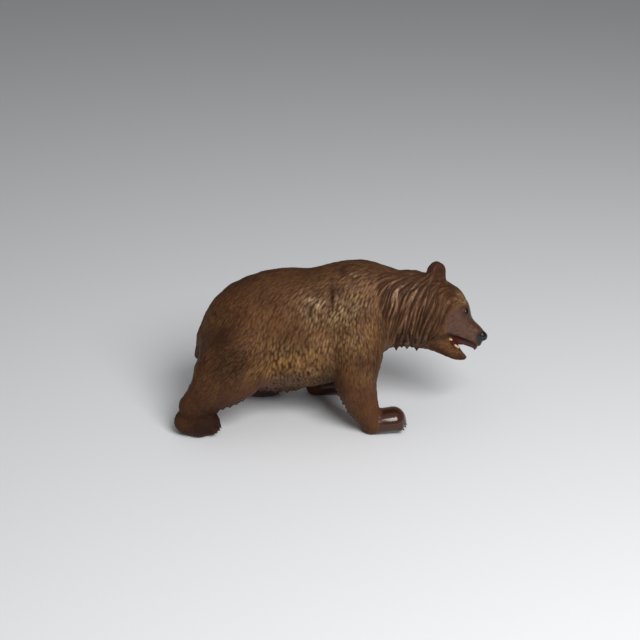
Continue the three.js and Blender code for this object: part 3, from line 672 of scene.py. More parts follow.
def tracedStrokes(tree, points, normals, flow, seeds, settings, stretch, step=2.6):
    # Each cut follows the lie of the coat for its length, as a run of short stretches
    random = np.random.default_rng(settings["seed"] + 1)
    rows = []
    for seed in seeds:
        size = stretch[seed]
        length = settings["length"] * mm * random.uniform(*coat["lengths"]) * size
        width = settings["width"] / 2 * mm * random.uniform(*coat["widths"]) * size
        depth = settings["depth"] * mm * random.uniform(*coat["depths"]) * size
        steps = max(2, int(round(length / (step * mm))))
        # Half of the length back from the seed, then the whole length forwards
        at = seed
        place = points[seed]
        for _ in range(steps // 2):
            place = points[at] - flow[at] * length / steps
            at = tree.find(place)[1]
        place = points[at]
        for s in range(steps):
            at, following = ontoSkin(tree, points, normals, place + flow[at] * length / steps)
            rows.append((*place, *following, *normals[at], s / steps, (s + 1) / steps, width, depth))
            place = following
    return strokeParts(rows)


def cutDepth(points, strokes):
    # How deep the gouge went at each point: the deepest of the cuts that cross it
    first, last, normals, shareA, shareB, width, depth = strokes
    cell = 3.0 * mm
    low = points.min(0) - 4 * cell
    span = np.ceil((points.max(0) - low) / cell).astype(np.int64) + 8
    keyOf = lambda k: (k[:, 0] * span[1] + k[:, 1]) * span[2] + k[:, 2]
    keys = keyOf(np.floor((points - low) / cell).astype(np.int64))
    order = np.argsort(keys, kind="stable")
    sortedKeys = keys[order]
    middle = np.floor(((first + last) / 2 - low) / cell).astype(np.int64)
    way = last - first
    size = np.maximum((way**2).sum(1), 1e-9)
    deepest = np.zeros(len(points))
    for beside in threefold((-1, 0, 1)):
        wanted = keyOf(middle + np.array(beside))
        begin = np.searchsorted(sortedKeys, wanted, "left")
        count = np.searchsorted(sortedKeys, wanted, "right") - begin
        s = np.repeat(np.arange(len(first)), count)
        run = np.arange(len(s)) - np.repeat(np.cumsum(count) - count, count)
        v = order[np.repeat(begin, count) + run]
        off = points[v] - first[s]
        t = np.clip((off * way[s]).sum(1) / size[s], 0, 1)
        off -= t[:, None] * way[s]
        rise = (off * normals[s]).sum(1)
        apart = np.sqrt(np.maximum((off**2).sum(1) - rise**2, 0)) / width[s]
        share = shareA[s] + t * (shareB[s] - shareA[s])
        cut = depth[s] * np.maximum(1 - apart**2, 0) * np.clip(4 * share * (1 - share), 0, 1) ** 0.6
        cut[np.abs(rise) > 1.3] = 0
        np.maximum.at(deepest, v, cut)
    return deepest


def meshFrom(name, corners, quads):
    mesh = bpy.data.meshes.new(name)
    sides = quads.shape[1]
    mesh.vertices.add(len(corners))
    mesh.vertices.foreach_set("co", corners.astype(np.float32).ravel())
    mesh.loops.add(quads.size)
    mesh.loops.foreach_set("vertex_index", quads.astype(np.int32).ravel())
    mesh.polygons.add(len(quads))
    mesh.polygons.foreach_set("loop_start", np.arange(0, quads.size, sides, dtype=np.int32))
    mesh.polygons.foreach_set("loop_total", np.full(len(quads), sides, np.int32))
    mesh.update(calc_edges=True)
    mesh.validate()
    return mesh


def addObject(name, data):
    item = bpy.data.objects.new(name, data)
    bpy.context.scene.collection.objects.link(item)
    return item


def treeOf(points):
    tree = KDTree(len(points))
    for i, place in enumerate(points.tolist()):
        tree.insert(place, i)
    tree.balance()
    return tree


def toeGrooves(tree, points, normals, settings):
    # Between the toes, back over the top of each paw
    rows, steps = [], settings["steps"]
    width, depth = settings["pitch"] / 2 * mm, settings["depth"] * mm
    for limb in limbs:
        for first, second in zip(limb["toes"], limb["toes"][1:]):
            at = tree.find((np.array(first) + np.array(second)) / 2 + np.array([1.6, 0, -1.2]))[1]
            place = points[at]
            way = np.array([0.15, 0, 1.0])
            for s in range(steps):
                way = way - normals[at] * (way @ normals[at])
                following = place + way / np.linalg.norm(way) * settings["length"] * mm / steps
                at, following = ontoSkin(tree, points, normals, following)
                shares = (0.35 + s / steps * 0.6, 0.35 + (s + 1) / steps * 0.6)
                rows.append((*place, *following, *normals[at], *shares, width, depth))
                way = following - place + np.array([-0.35, 0, 0])
                place = following
    return strokeParts(rows)


# Its darkness is painted shade in the crack.
checkAt = (-0.3, -9, 42.9)  # a short dark drying check in the shoulder


def spotsAt(p, spots):
    # Soft spots given as centre, reach along each axis and strength, the same on both sides
    mirrored = np.stack([p[:, 0], -np.abs(p[:, 1]), p[:, 2]], 1)
    total = np.zeros(len(p))
    for at, reach, strength in spots:
        off = (mirrored - np.array(at)) / np.array(reach)
        total = np.maximum(total, strength * np.exp(-(off**2).sum(1)))
    return total


def lockTips(p):
    # 1 at the thin tips of the locks, where a gouge would cut through
    share = np.zeros(len(p))
    for lock in bodyLocks + sum((limb["locks"] for limb in limbs), []):
        root, tip = lock["balls"][0], lock["balls"][-1]
        near = np.flatnonzero(((p - lock["middle"]) ** 2).sum(1) < (lock["reach"] + 0.6) ** 2)
        t = (p[near] - root[:3]) @ (tip - root)[:3] / ((tip - root)[:3] ** 2).sum()
        share[near] = np.maximum(share[near], smoothStep(0.1, 0.6, t))
    return share


# A lid that stands out below each eye and a sunken tear line in front of it: the way from the eye
# in the head's frame, reach along each axis, and height
eyeForms = {
    "lid": ((0.7, 0, -1.15), (0.75, 1.6, 0.6), 0.2),
    "tearLine": ((1.35, 0.6, -0.2), (0.35, 1.6, 1.3), 0.2),
}


def besideEye(h, name):
    away, reach, strength = eyeForms[name]
    return spotsAt(h, [(eyeInHead + away, reach, strength)])


def coatCuts(corners, normals, flow, coated, neckShare, stretch):
    tree = treeOf(corners)
    report("coat laid out")
    even = np.ones(len(corners))
    seeds = strokeSeeds(corners, flow, coated > 0.15, coat["stroke"], stretch)
    lockSeeds = strokeSeeds(corners, flow, neckShare * coated > 0.4, coat["lock"], even)
    cuts = {
        "stroke": tracedStrokes(tree, corners, normals, flow, seeds, coat["stroke"], stretch),
        "lock": tracedStrokes(tree, corners, normals, flow, lockSeeds, coat["lock"], even),
        "toe": toeGrooves(tree, corners, normals, coat["toe"]),
    }
    report(f"{len(seeds)} gouge cuts and {len(lockSeeds)} long locks traced")
    return cuts


def carvedCoat(corners, normals):
    p = corners.astype(np.float32)
    flow, weights, h = furFlow(p, normals)
    paw, face, ear = bareParts(p)
    coated = (1 - paw) * (1 - face) * (1 - ear) * smoothStep(0.2, 1.2, corners[:, 2])
    upright = 1 - smoothStep(0.6, 0.95, normals[:, 2])
    neckShare = weights[:, 1] * upright * smoothStep(*coat["neckFrom"], corners[:, 0])
    # Cuts are finer on the head and legs, and longer low on the flanks
    low = smoothStep(32, 22, corners[:, 2])
    stretch = 1 - 0.32 * weights[:, 2] - 0.1 * weights[:, 3:].sum(1) + 0.22 * weights[:, 0] * low
    cuts = coatCuts(corners, normals, flow, coated, neckShare, stretch)
    deep = {name: cutDepth(corners, strokes) for name, strokes in cuts.items()}
    tuft = np.clip(deep["stroke"] / (coat["stroke"]["depth"] * mm), 0, 1)
    between = coat["stroke"]["depth"] * mm * (1 - tuft) * (1 - 0.35 * neckShare)
    relief = (0.55 + 0.45 * upright) * (1 - 0.9 * lockTips(corners)) * coated
    cut = (between + deep["lock"] * smoothStep(0.2, 0.6, neckShare)) * relief + deep["toe"]

    swell = coat["tuft"] * mm * ripples(corners, coat["tuftSize"] * mm, 8) * coated * (1 - weights[:, 2])
    # A ridge of coat and a groove where the face begins
    edge = pastFaceEdge(h)
    onFace = smoothStep(-4, -3, h[:, 2]) * (0.45 + 0.55 * smoothStep(1, 4, h[:, 2]))
    onFace = onFace * smoothStep(0.5, 2.5, np.abs(h[:, 1])) * (weights[:, 2] > 0.5)
    swell += onFace * (0.26 * np.exp(-(((edge + 0.5) / 0.5) ** 2)) - 0.2 * np.exp(-(((edge - 0.3) / 0.6) ** 2)))
    swell += (besideEye(h, "lid") - besideEye(h, "tearLine")) * (weights[:, 2] > 0.5)
    swell -= spotsAt(corners, [(checkAt, (0.4, 6, 4.2), 0.36)])
    report("cuts made")
    return corners + normals * (np.minimum(swell, 0.2) - cut)[:, None], cuts


def thinOut(piece, share):
    thin = piece.modifiers.new("thin", "DECIMATE")
    thin.ratio = share
    thin.use_collapse_triangulate = True
    mesh = bpy.data.meshes.new_from_object(piece.evaluated_get(bpy.context.evaluated_depsgraph_get()))
    piece.modifiers.remove(thin)
    old = piece.data
    piece.data = mesh
    bpy.data.meshes.remove(old)
    mesh.name = piece.name
    report(f"thinned to {len(mesh.polygons)} faces")


def perPoint(mesh, field):
    values = np.empty(len(mesh.vertices) * 3, np.float32)
    mesh.vertices.foreach_get(field, values)
    return values.reshape(-1, 3)


def cutMark(p, weights, coated, cuts):
    # 1 in the bottom of a cut, 0 on the tufts left standing
    neckShare = weights[:, 1] * smoothStep(*coat["neckFrom"], p[:, 0])
    legShare = weights[:, 3:].sum(1) * smoothStep(25, 15, p[:, 2])
    deep = {name: cutDepth(p, strokes) / (coat[name]["depth"] * mm) for name, strokes in cuts.items()}
    between = (1 - np.clip(deep["stroke"], 0, 1)) * (1 - 0.5 * neckShare) * (1 - 0.35 * legShare)
    lock = 1.2 * deep["lock"] * smoothStep(0.2, 0.6, neckShare)
    return np.clip(np.maximum(between, lock) * coated + deep["toe"], 0, 1), neckShare * coated, legShare * coated


def finishMarks(mesh, cuts):
    # What the finish needs to know at each corner
    p = toFigure(perPoint(mesh, "co")).astype(np.float32)
    paw, face, ear = bareParts(p)
    h, weights = furParts(p)
    cut, neck, leg = cutMark(p, weights, (1 - paw) * (1 - face) * (1 - ear), cuts)
    onHead = weights[:, 2] > 0.5
    mouth = 1 - smoothStep(0.1, 0.3, nearestOf(("mouth", "gum", "tongue", "gape"), h))
    mouth *= smoothStep(2, 2.8, h[:, 0]) * (1 - smoothStep(13.4, 13.9, h[:, 0])) * (h[:, 2] < 0) * onHead
    noseBack = np.interp(h[:, 2], [-1, 1.5, 3.4], [12.7, 10.9, 12.0])
    ridge = np.interp(h[:, 0], [0, 4, 10, 13], [6, 3.4, 2.5, 2.2])
    return {
        "cut": cut,
        "paw": paw,
        "face": face * (0.2 + 0.8 * smoothStep(0, 2.6, pastFaceEdge(h))),
        "ear": ear,
        "leg": leg,
        "neck": neck,
        "mouth": mouth,
        "red": mouth * smoothStep(9.0, 7.7, h[:, 0]) * smoothStep(5.0, 5.9, h[:, 0]),
        "teeth": 1 - smoothStep(0.0, 0.16, nearestOf(("backTeeth", "frontTeeth"), h)),
        "nose": smoothStep(-0.4, 0.4, h[:, 0] - noseBack) * smoothStep(-1.2, -0.4, h[:, 2]) * onHead,
        "bridge": face * smoothStep(-1.1, 1.1, h[:, 2] - ridge),
        "wearAndHighlight": wearAndHighlightAt(p, h),
        "golden": np.clip(spotsAt(p, goldSpots), 0, 1),
        "stainAndShade": stainAndShadeAt(p, h),
        # painted shade: how much each face looks up, to darken the tops
        "top": smoothStep(0.35, 0.95, perPoint(mesh, "normal")[:, 2]),
    }


def makeCarving():
    low, high = carving["sampled"]
    step = carving["voxel"] / unit
    values = sampled(low, high, step)
    report("form sampled")
    corners, quads = netOf(values)
    corners, normals = settled(values, corners)
    corners = np.array(low) + corners * step
    report(f"skin drawn, {len(quads)} quads")
    corners, cuts = carvedCoat(corners, normals)
    places = np.clip(toMetres(corners), boxLow, boxHigh)
    piece = addObject("bearCarving", meshFrom("bearCarving", places, quads))
    thinOut(piece, carving["triangles"] / (2 * len(quads)))
    for name, shares in finishMarks(piece.data, cuts).items():
        layer = piece.data.attributes.new(name, "FLOAT", "POINT")
        layer.data.foreach_set("value", np.ascontiguousarray(shares, np.float32))
    piece.data.shade_smooth()
    return piece


# Where handling has rubbed the stain down to paler wood, with painted highlight in the shoulder and neck spots;
# where that is golden; and where the wood is darker: stain, with painted shade in the check, the shoulder's fold,
# under the ruff and belly and on the far paws. Centre, reach along each axis, strength. Figure units, the same on
# both sides.
wearAndHighlightSpots = [
    ((-15, -15, 23.5), (12, 9, 5.4), 0.9),
    ((-24, -14, 26), (5, 8, 4), 0.3),
    ((6, -12, 40), (6, 8, 6.5), 0.9),
    # painted highlight: the glints on the shoulder
    ((3, -12, 37.5), (4.5, 7, 3.5), 1.15),
    ((-5, -12, 40.5), (4.6, 8, 6), 0.8),
    ((-3, -15, 30), (4.5, 8, 4), 0.6),
    ((10.5, -10, 44), (3, 6, 3), 0.5),
    ((5, -15, 32), (6, 8, 5), 0.5),
    ((5, -6, 49), (5, 6, 3), 0.5),
    ((8.7, -15, 20), (3, 6, 4), 0.4),
    ((-38, -13, 16), (3, 5, 4.5), 0.5),
    # painted highlight on the lit strands of the neck, on this line and the next
    ((19, -10, 42), (6, 7, 5), 1.0),
    ((23, -12, 34), (6, 6, 8), 0.85),
    ((28.5, -12, 38), (1.8, 5, 6), 0.8),
]
goldSpots = [
    ((-16, -15, 23), (11, 9, 5), 0.8),
    ((-24, -14, 26), (5, 8, 4), 0.6),
    ((-38, -13, 16), (3, 5, 4.5), 0.5),
    ((8.7, -15, 19), (3, 6, 4), 0.4),
]
darkSpots = [
    ((3.1, -4.5, 49.3), (1.5, 3, 1.2), 1.1),
    # painted shade in the drying check
    (checkAt, (0.6, 6, 4.6), 1.15),
    ((-33, -13, 31), (7, 8, 8), 0.6),
    ((-30.5, -15, 25.5), (7.5, 8, 6), 1.0),
    ((-22, -12, 42), (8, 7, 3), 0.3),
    # painted shade in the fold between shoulder and neck
    ((15.6, -10, 34), (1.4, 6, 8), 0.5),
    # painted shade under the ruff
    ((23, -8, 24.5), (9, 9, 3.4), 0.75),
    ((1, -14, 16), (5, 8, 3), 0.5),
    ((9, -13, 13), (6, 6, 6), 0.5),
    ((-32, -13, 12), (7, 6, 4), 0.35),
    ((-39.5, -13, 5), (9, 10, 8), 1.2),
    # painted shadow of the belly on the far hind paw, and on the next line on the far fore paw
    ((-22, -13, 5), (6, 5, 6), 0.75),
    ((0, -13, 5), (7, 5, 6), 0.75),
    # painted shade under the belly
    ((-12, -8, 9.5), (14, 8, 2.5), 0.6),
]

# The same on the head, in its own frame. The painted shade round each eye is placed from the eye.
headWear = [
    ((-0.2, -3, 7.6), (2.4, 2.6, 1.6), 1.6),
    ((-0.6, -5, 5.6), (1.2, 2, 1.6), 0.7),
    ((6, -2, -6.8), (3, 3, 1.0), 0.6),
]
headDark = [
    ((11.5, -1, -7.3), (2.5, 3, 1.0), 0.7),
    ((6, -2, -9.2), (5, 4, 1.2), 0.6),
    # painted shade over the ear and into its hollow
    ((-9.9, -5.1, 9.2), (4.2, 4.5, 4.6), 0.28),
]
# Painted shade round each eye: under the brow, in front, behind and below it
eyeShadeSpots = [
    ((0.1, 0, 0.95), (1.6, 2, 0.7), 0.85),
    ((1.1, 0.4, 0), (0.5, 2, 1.0), 0.85),
    ((-1.4, 0, 0.1), (1.3, 2, 1.1), 0.4),
    ((0, 0, -0.85), (0.9, 2, 0.3), 0.6),
]


# Rubbed wear, with painted highlight on the shoulder and neck
def wearAndHighlightAt(p, h):
    rough = 1 + 0.4 * ripples(p, 17 * mm, 21)
    return np.clip(np.maximum(spotsAt(p, wearAndHighlightSpots) * rough, spotsAt(h, headWear)), 0, 1)


# Dark stain, and painted shade in the eye sockets, round the eyes, along the face's edge, over the ear and in the
# body's shade spots; a dark line under the upper lip
def stainAndShadeAt(p, h):
    # painted shade in the eye sockets and round the eyes
    socketShade = np.max([smoothStep(0.3, 0.05, ballDistance(eye, eyeRadius / unit, p)) for eye in eyePlaces], axis=0)
    eyeShading = spotsAt(h, [(eyeInHead + away, reach, share) for away, reach, share in eyeShadeSpots])
    lipLine = np.interp(h[:, 0], [2.4, 3.7, 6, 9.1, 12], [-3.5, -3.35, -2.85, -1.95, -1.1])
    lips = np.interp(h[:, 0], [3, 6], [1.7, 1.2]) * np.exp(-(((h[:, 2] - lipLine + 0.25) / 0.48) ** 2))
    lips *= smoothStep(1.5, 2.6, h[:, 0]) * smoothStep(12.5, 11.5, h[:, 0]) * (np.abs(h[:, 1]) < 6)
    # painted shade in the groove where the coat overhangs the face
    faceEdgeShade = 0.6 * np.exp(-(((pastFaceEdge(h) - 0.15) / 0.5) ** 2)) * smoothStep(-3.5, -1, h[:, 2])
    faceEdgeShade *= smoothStep(0.5, 2, np.abs(h[:, 1])) * (hullDistance(headHulls["cheek"], h) < 6)
    onBody = spotsAt(p, darkSpots) * (h[:, 0] < -11)
    return np.clip(np.max([onBody, socketShade, eyeShading, spotsAt(h, headDark), lips, faceEdgeShade], axis=0), 0, 1)


bear = makeCarving()
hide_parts("bear_carving")
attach(bear, "root")
report("carving placed")


# Materials


def linear(hexCode):
    parts = [int(hexCode[i:i + 2], 16) / 255 for i in (1, 3, 5)]
    return tuple(v / 12.92 if v <= 0.04045 else ((v + 0.055) / 1.055) ** 2.4 for v in parts) + (1,)


def addNode(tree, kind, inputs=(), out=0, **settings):
    # Inputs as a dictionary, or in the order of the node's first sockets. Gives an output socket.
    node = tree.nodes.new(kind)
    for name, value in settings.items():
        setattr(node, name, value)
    for name, value in inputs.items() if isinstance(inputs, dict) else enumerate(inputs):
        if isinstance(value, bpy.types.NodeSocket):
            tree.links.new(value, node.inputs[name])
        else:
            node.inputs[name].default_value = value
    return node.outputs[out] if node.outputs else None


def newMaterial(name):
    material = bpy.data.materials.new(name)
    material.use_nodes = True
    material.node_tree.nodes.clear()
    return material, material.node_tree


woodFinish = {
    "dark": "#361d0d",
    "brown": "#593920",
    "warm": "#6f4b25",
    "red": "#5f3113",
    # tan: ridges rubbed paler, and the colour of the painted highlight on them
    "tan": "#a98c60",  # rubbed ridges
    "gold": "#a06f27",
    # painted highlight: pinkish-grey glints on the neck's ridges
    "neckRidgeHighlight": "#ab836b",
    "groove": "#1f0e05",
    "leg": "#472614",
    "paw": "#30110a",
    "face": "#543b31",
    "faceDark": "#3c221a",
    "muzzleTop": "#3c2115",
    # the ear's hollow: its own dark stain, deepened as painted shade
    "ear": "#38190b",
    "noseBlack": "#0c0a0a",
    # painted shade: the gum brown and the mouth red are darkened for the shade inside the mouth
    "shadedGumBrown": "#32120b",
    "shadedMouthRed": "#3a0201",
    "toothCream": "#d2ae74",
}
woodMarks = (
    "cut", "paw", "face", "ear", "leg", "neck", "mouth", "red",
    "teeth", "nose", "bridge", "wearAndHighlight", "golden", "stainAndShade", "top",
)
# How many to the metre, how far drawn out along x, y and z, detail, and where the pattern starts
woodPatterns = {
    "patches": (34, (1, 1, 0.8), 3, (0, 0, 0)),  # stain taken unevenly, 30 mm across
    "blots": (110, (1, 1, 0.7), 2, (0.7, 0.2, 0)),  # 9 mm
    "sideHairs": (560, (1, 1, 0.18), 3, (0.3, 0, 0)),  # streaks 2 mm wide down the coat
    "topHairs": (560, (0.22, 1, 1), 3, (0, 0.4, 0)),  # and back along the spine
    "grain": (240, (0.12, 1, 1), 4, (0, 0, 0.2)),  # 4 mm wide, along the block
    "reddish": (48, (1, 1, 0.6), 3, (0.4, 0.9, 0.3)),  # 21 mm
    "fleck": (420, (1, 1, 1), 3, (0, 0.6, 0.1)),  # 2.4 mm, on the muzzle
}
# Shares from 0 to 1, each from what stands before it: the name, what is done, and with what.
# A range gives the values between which the share rises, and what it is before and after.
woodShares = (
    ("ofBlots", "MULTIPLY", "blots", 0.4),
    ("taken", "MULTIPLY", "patches", 0.6),
    ("taken", "ADD", "taken", "ofBlots"),
    ("taken", "RANGE", "taken", 0.38, 0.6, 0, 1),
    ("streak", "RANGE", "hairs", 0.42, 0.66, 0, 1),
    ("reddish", "RANGE", "reddish", 0.5, 0.68, 0, 1),
    # Paler on the ridges where the stain is worn, and painted highlight where the shoulder and neck spots raise it
    ("ridge", "RANGE", "cut", 0, 1, 1, 0),
    ("ridgeWearAndHighlight", "POWER", "ridge", 1.5),
    ("byBlots", "RANGE", "blots", 0.3, 0.62, 0.5, 1),
    ("byWearAndHighlight", "RANGE", "wearAndHighlight", 0, 1, 0.1, 1.05),
    ("byStreak", "RANGE", "streak", 0, 1, 0.6, 1.1),
    ("ridgeWearAndHighlight", "MULTIPLY", "ridgeWearAndHighlight", "byBlots", "byWearAndHighlight", "byStreak"),
    ("deep", "POWER", "cut", 1.5),
    ("byNeck", "RANGE", "neck", 0, 1, 0.46, 0.72),
    ("deep", "MULTIPLY", "deep", "byNeck"),
    ("faceBlots", "RANGE", "blots", 0.42, 0.62, 0, 1),
    ("faceFlecks", "RANGE", "fleck", 0.42, 0.66, 0, 1),
    # Varnish: thin on the muzzle and the waxed ridges, full on the paws and the nose
    ("wax", "MAXIMUM", "neck", "wearAndHighlight"),
    ("byBlots", "RANGE", "blots", 0.42, 0.6, 0, 0.4),
    ("wax", "MULTIPLY", "wax", "byBlots", "ridge"),
    ("shine", "POWER", "face", 3),
    ("byBlots", "RANGE", "blots", 0.42, 0.58, 0.15, 1),
    ("shine", "MULTIPLY", "shine", "byBlots"),
    ("shine", "MAXIMUM", "shine", "wax"),
    ("clearOfStainAndShade", "RANGE", "stainAndShade", 0, 1, 1, 0),
    ("shine", "MULTIPLY", "shine", "clearOfStainAndShade"),
    ("onPaws", "RANGE", "stainAndShade", 0, 0.952, 1, 0),
    ("onPaws", "MULTIPLY", "onPaws", "paw"),
    ("inMouth", "MULTIPLY", "mouth", 0.12),
    ("varnish", "MAXIMUM", "onPaws", "nose", "shine", "inMouth", "teeth"),
    ("coatWeight", "MULTIPLY", "varnish", 0.6),
    # Roughness 0.5 where there is none, duller in the cuts and where the stain and the painted shade lie
    ("roughness", "RANGE", "varnish", 0, 1, 0.35, 0.09),
    ("byBlots", "RANGE", "blots", 0, 1, 0, 0.3),
    ("inCuts", "MULTIPLY", "cut", 0.3),
    ("inStainAndShade", "MULTIPLY", "stainAndShade", 0.28),
    ("roughness", "ADD", "roughness", "byBlots", "inCuts", "inStainAndShade"),
    ("smooth", "MAXIMUM", "face", "ear", "paw"),
    ("bumps", "RANGE", "smooth", 0, 1, 0.5, 0.12),
    ("onFace", "MULTIPLY", "face", 0.85),
    ("bumps", "ADD", "bumps", "onFace"),
)
# Colours laid over one another: the first, then each share, how much of it, and the colour
woodPaints = {
    # On the neck the ridges take the painted highlight colour
    "ridgeWearAndHighlightColour": ("tan", (("golden", 1, "gold"), ("neck", 0.75, "neckRidgeHighlight"))),
    "bareFace": ("face", (
        ("faceBlots", 0.5, "muzzleTop"), ("bridge", 0.9, "muzzleTop"), ("faceFlecks", 0.7, "faceDark"),
    )),
    "wholeBear": ("dark", (
        ("taken", 1, "brown"), ("streak", 0.35, "warm"), ("reddish", 0.4, "red"), ("ridgeWearAndHighlight", 1, "ridgeWearAndHighlightColour"),
        # The top mark below lays painted shade on faces that look up
        ("deep", 1, "groove"), ("leg", 0.55, "leg"), ("top", 0.58, "dark"), ("face", 0.9, "bareFace"),
        # Painted shade: the ear, stain-and-shade and mouth colours below darken their places over their own colour
        ("paw", 0.85, "paw"), ("ear", 0.8, "ear"), ("stainAndShade", 0.75, "groove"), ("mouth", 1, "shadedGumBrown"),
        ("red", 1, "shadedMouthRed"), ("nose", 1, "noseBlack"), ("teeth", 1, "toothCream"),
    )),
}


def stainedLimewood():
    # Limewood cut with gouges, stained walnut brown and waxed: dark in the cuts, paler on the ridges where
    # rubbed and with painted highlight on the shoulder and neck, glossy with varnish on the paws, the muzzle
    # and the nose. Painted shade darkens the tops, the eye sockets, the ear's hollow, the mouth, the face's
    # edge and the places under the ruff and belly.
    material, tree = newMaterial("stainedLimewood")
    place = addNode(tree, "ShaderNodeTexCoord", out="Object")
    shares = {}
    for name in woodMarks:
        shares[name] = addNode(tree, "ShaderNodeAttribute", out="Fac", attribute_name=name)
    for name, (perMetre, drawnOut, detail, start) in woodPatterns.items():
        at = addNode(tree, "ShaderNodeMapping", {"Vector": place, "Location": start, "Scale": drawnOut})
        noise = {"Vector": at, "Scale": perMetre, "Detail": detail, "Roughness": 0.6}
        shares[name] = addNode(tree, "ShaderNodeTexNoise", noise, "Fac")
    hairs = {0: shares["top"], 2: shares["sideHairs"], 3: shares["topHairs"]}
    shares["hairs"] = addNode(tree, "ShaderNodeMix", hairs, data_type="FLOAT")
    for name, operation, *given in woodShares:
        share, *others = [shares.get(value, value) for value in given]
        if operation == "RANGE":
            share = addNode(tree, "ShaderNodeMapRange", (share, *others))
            others = []
        for other in others:
            share = addNode(tree, "ShaderNodeMath", (share, other), operation=operation, use_clamp=True)
        shares[name] = share
    paints = {name: linear(code) for name, code in woodFinish.items()}
    for name, (first, layers) in woodPaints.items():
        colour = paints[first]
        for share, strength, over in layers:
            share = addNode(tree, "ShaderNodeMath", (shares[share], strength), operation="MULTIPLY")
            colour = addNode(tree, "ShaderNodeMix", {0: share, 6: colour, 7: paints[over]}, 2, data_type="RGBA")
        paints[name] = colour

    height = shares["hairs"]
    for name, pattern in (("smooth", "grain"), ("face", "fleck")):
        blended = {0: shares[name], 2: height, 3: shares[pattern]}
        height = addNode(tree, "ShaderNodeMix", blended, data_type="FLOAT")
    bump = addNode(tree, "ShaderNodeBump", {"Height": height, "Strength": shares["bumps"], "Distance": 0.0006})
    shader = addNode(tree, "ShaderNodeBsdfPrincipled", {
        "Base Color": paints["wholeBear"],
        "Roughness": shares["roughness"],
        "Normal": bump,
        "IOR": 1.5,
        "Specular IOR Level": 0.16,
        "Coat Weight": shares["coatWeight"],
        "Coat Roughness": 0.1,
        "Coat Normal": bump,
    })
    addNode(tree, "ShaderNodeOutputMaterial", {"Surface": shader})
    return material


bear.data.materials.clear()
bear.data.materials.append(stainedLimewood())
report("wood finished")


# Claws, five to a paw, dark stained. Sizes in metres.
claws = {"length": 0.0026, "thickness": 0.0019, "curl": 0.001, "seed": 4, "colour": "#120a07", "streak": "#3a2012"}


def clawTree(material):
    # A tapered, bent claw at each point, aimed along the point's own direction
    tree = bpy.data.node_groups.new("clawRow", "GeometryNodeTree")
    socketShade = {}
    kinds = {"Toes": "Geometry", "Length": "Float", "Thickness": "Float", "Curl": "Float", "Seed": "Int"}
    for name, kind in kinds.items():
        socket = tree.interface.new_socket(name, in_out="INPUT", socket_type="NodeSocket" + kind)
        socketShade[name] = socket.identifier
    tree.interface.new_socket("Geometry", in_out="OUTPUT", socket_type="NodeSocketGeometry")
    given = tree.nodes.new("NodeGroupInput").outputs
    thick = addNode(tree, "ShaderNodeMath", (given["Thickness"], 0.5), operation="MULTIPLY")
    point = addNode(tree, "ShaderNodeMath", (given["Thickness"], 0.1), operation="MULTIPLY")
    piece = addNode(tree, "GeometryNodeMeshCone", {
        "Vertices": 14,
        "Side Segments": 8,
        "Fill Segments": 1,
        "Radius Top": point,
        "Radius Bottom": thick,
        "Depth": given["Length"],
    }, "Mesh")
    height = addNode(tree, "ShaderNodeSeparateXYZ", (addNode(tree, "GeometryNodeInputPosition"),), "Z")
    share = addNode(tree, "ShaderNodeMath", (height, given["Length"]), operation="DIVIDE")
    bend = addNode(tree, "ShaderNodeMath", (share, 2.0), operation="POWER")
    bend = addNode(tree, "ShaderNodeMath", (bend, given["Curl"]), operation="MULTIPLY")
    piece = addNode(tree, "GeometryNodeSetPosition", {
        "Geometry": piece,
        "Offset": addNode(tree, "ShaderNodeCombineXYZ", {"X": bend}),
    })
    turn = "FunctionNodeAlignRotationToVector"
    aim = addNode(tree, "GeometryNodeInputNamedAttribute", {"Name": "aim"}, "Attribute", data_type="FLOAT_VECTOR")
    aim = addNode(tree, turn, {"Vector": aim}, axis="Z")
    aim = addNode(tree, turn, {"Rotation": aim, "Vector": (0, 0, -1)}, axis="X", pivot_axis="Z")
    size = addNode(tree, "FunctionNodeRandomValue", {2: 0.88, 3: 1.1, "Seed": given["Seed"]}, 1, data_type="FLOAT")
    row = {"Points": given["Toes"], "Instance": piece, "Rotation": aim, "Scale": size}
    piece = addNode(tree, "GeometryNodeInstanceOnPoints", row)
    piece = addNode(tree, "GeometryNodeRealizeInstances", {"Geometry": piece})
    piece = addNode(tree, "GeometryNodeSetShadeSmooth", {"Geometry": piece})
    piece = addNode(tree, "GeometryNodeSetMaterial", {"Geometry": piece, "Material": material})
    addNode(tree, "NodeGroupOutput", {"Geometry": piece})
    return tree, socketShade


def darkHornStain():
    # The claws are stained nearly black and varnished with the paws, in streaks 1 mm across
    material, tree = newMaterial("darkHornStain")
    place = addNode(tree, "ShaderNodeTexCoord", out="Object")
    streaks = addNode(tree, "ShaderNodeTexNoise", {"Vector": place, "Scale": 900, "Detail": 2}, "Fac")
    colours = {0: streaks, 6: linear(claws["colour"]), 7: linear(claws["streak"])}
    colour = addNode(tree, "ShaderNodeMix", colours, 2, data_type="RGBA")
    look = {"Base Color": colour, "Roughness": 0.3, "Specular IOR Level": 0.4}
    shader = addNode(tree, "ShaderNodeBsdfPrincipled", look)
    addNode(tree, "ShaderNodeOutputMaterial", {"Surface": shader})
    return material


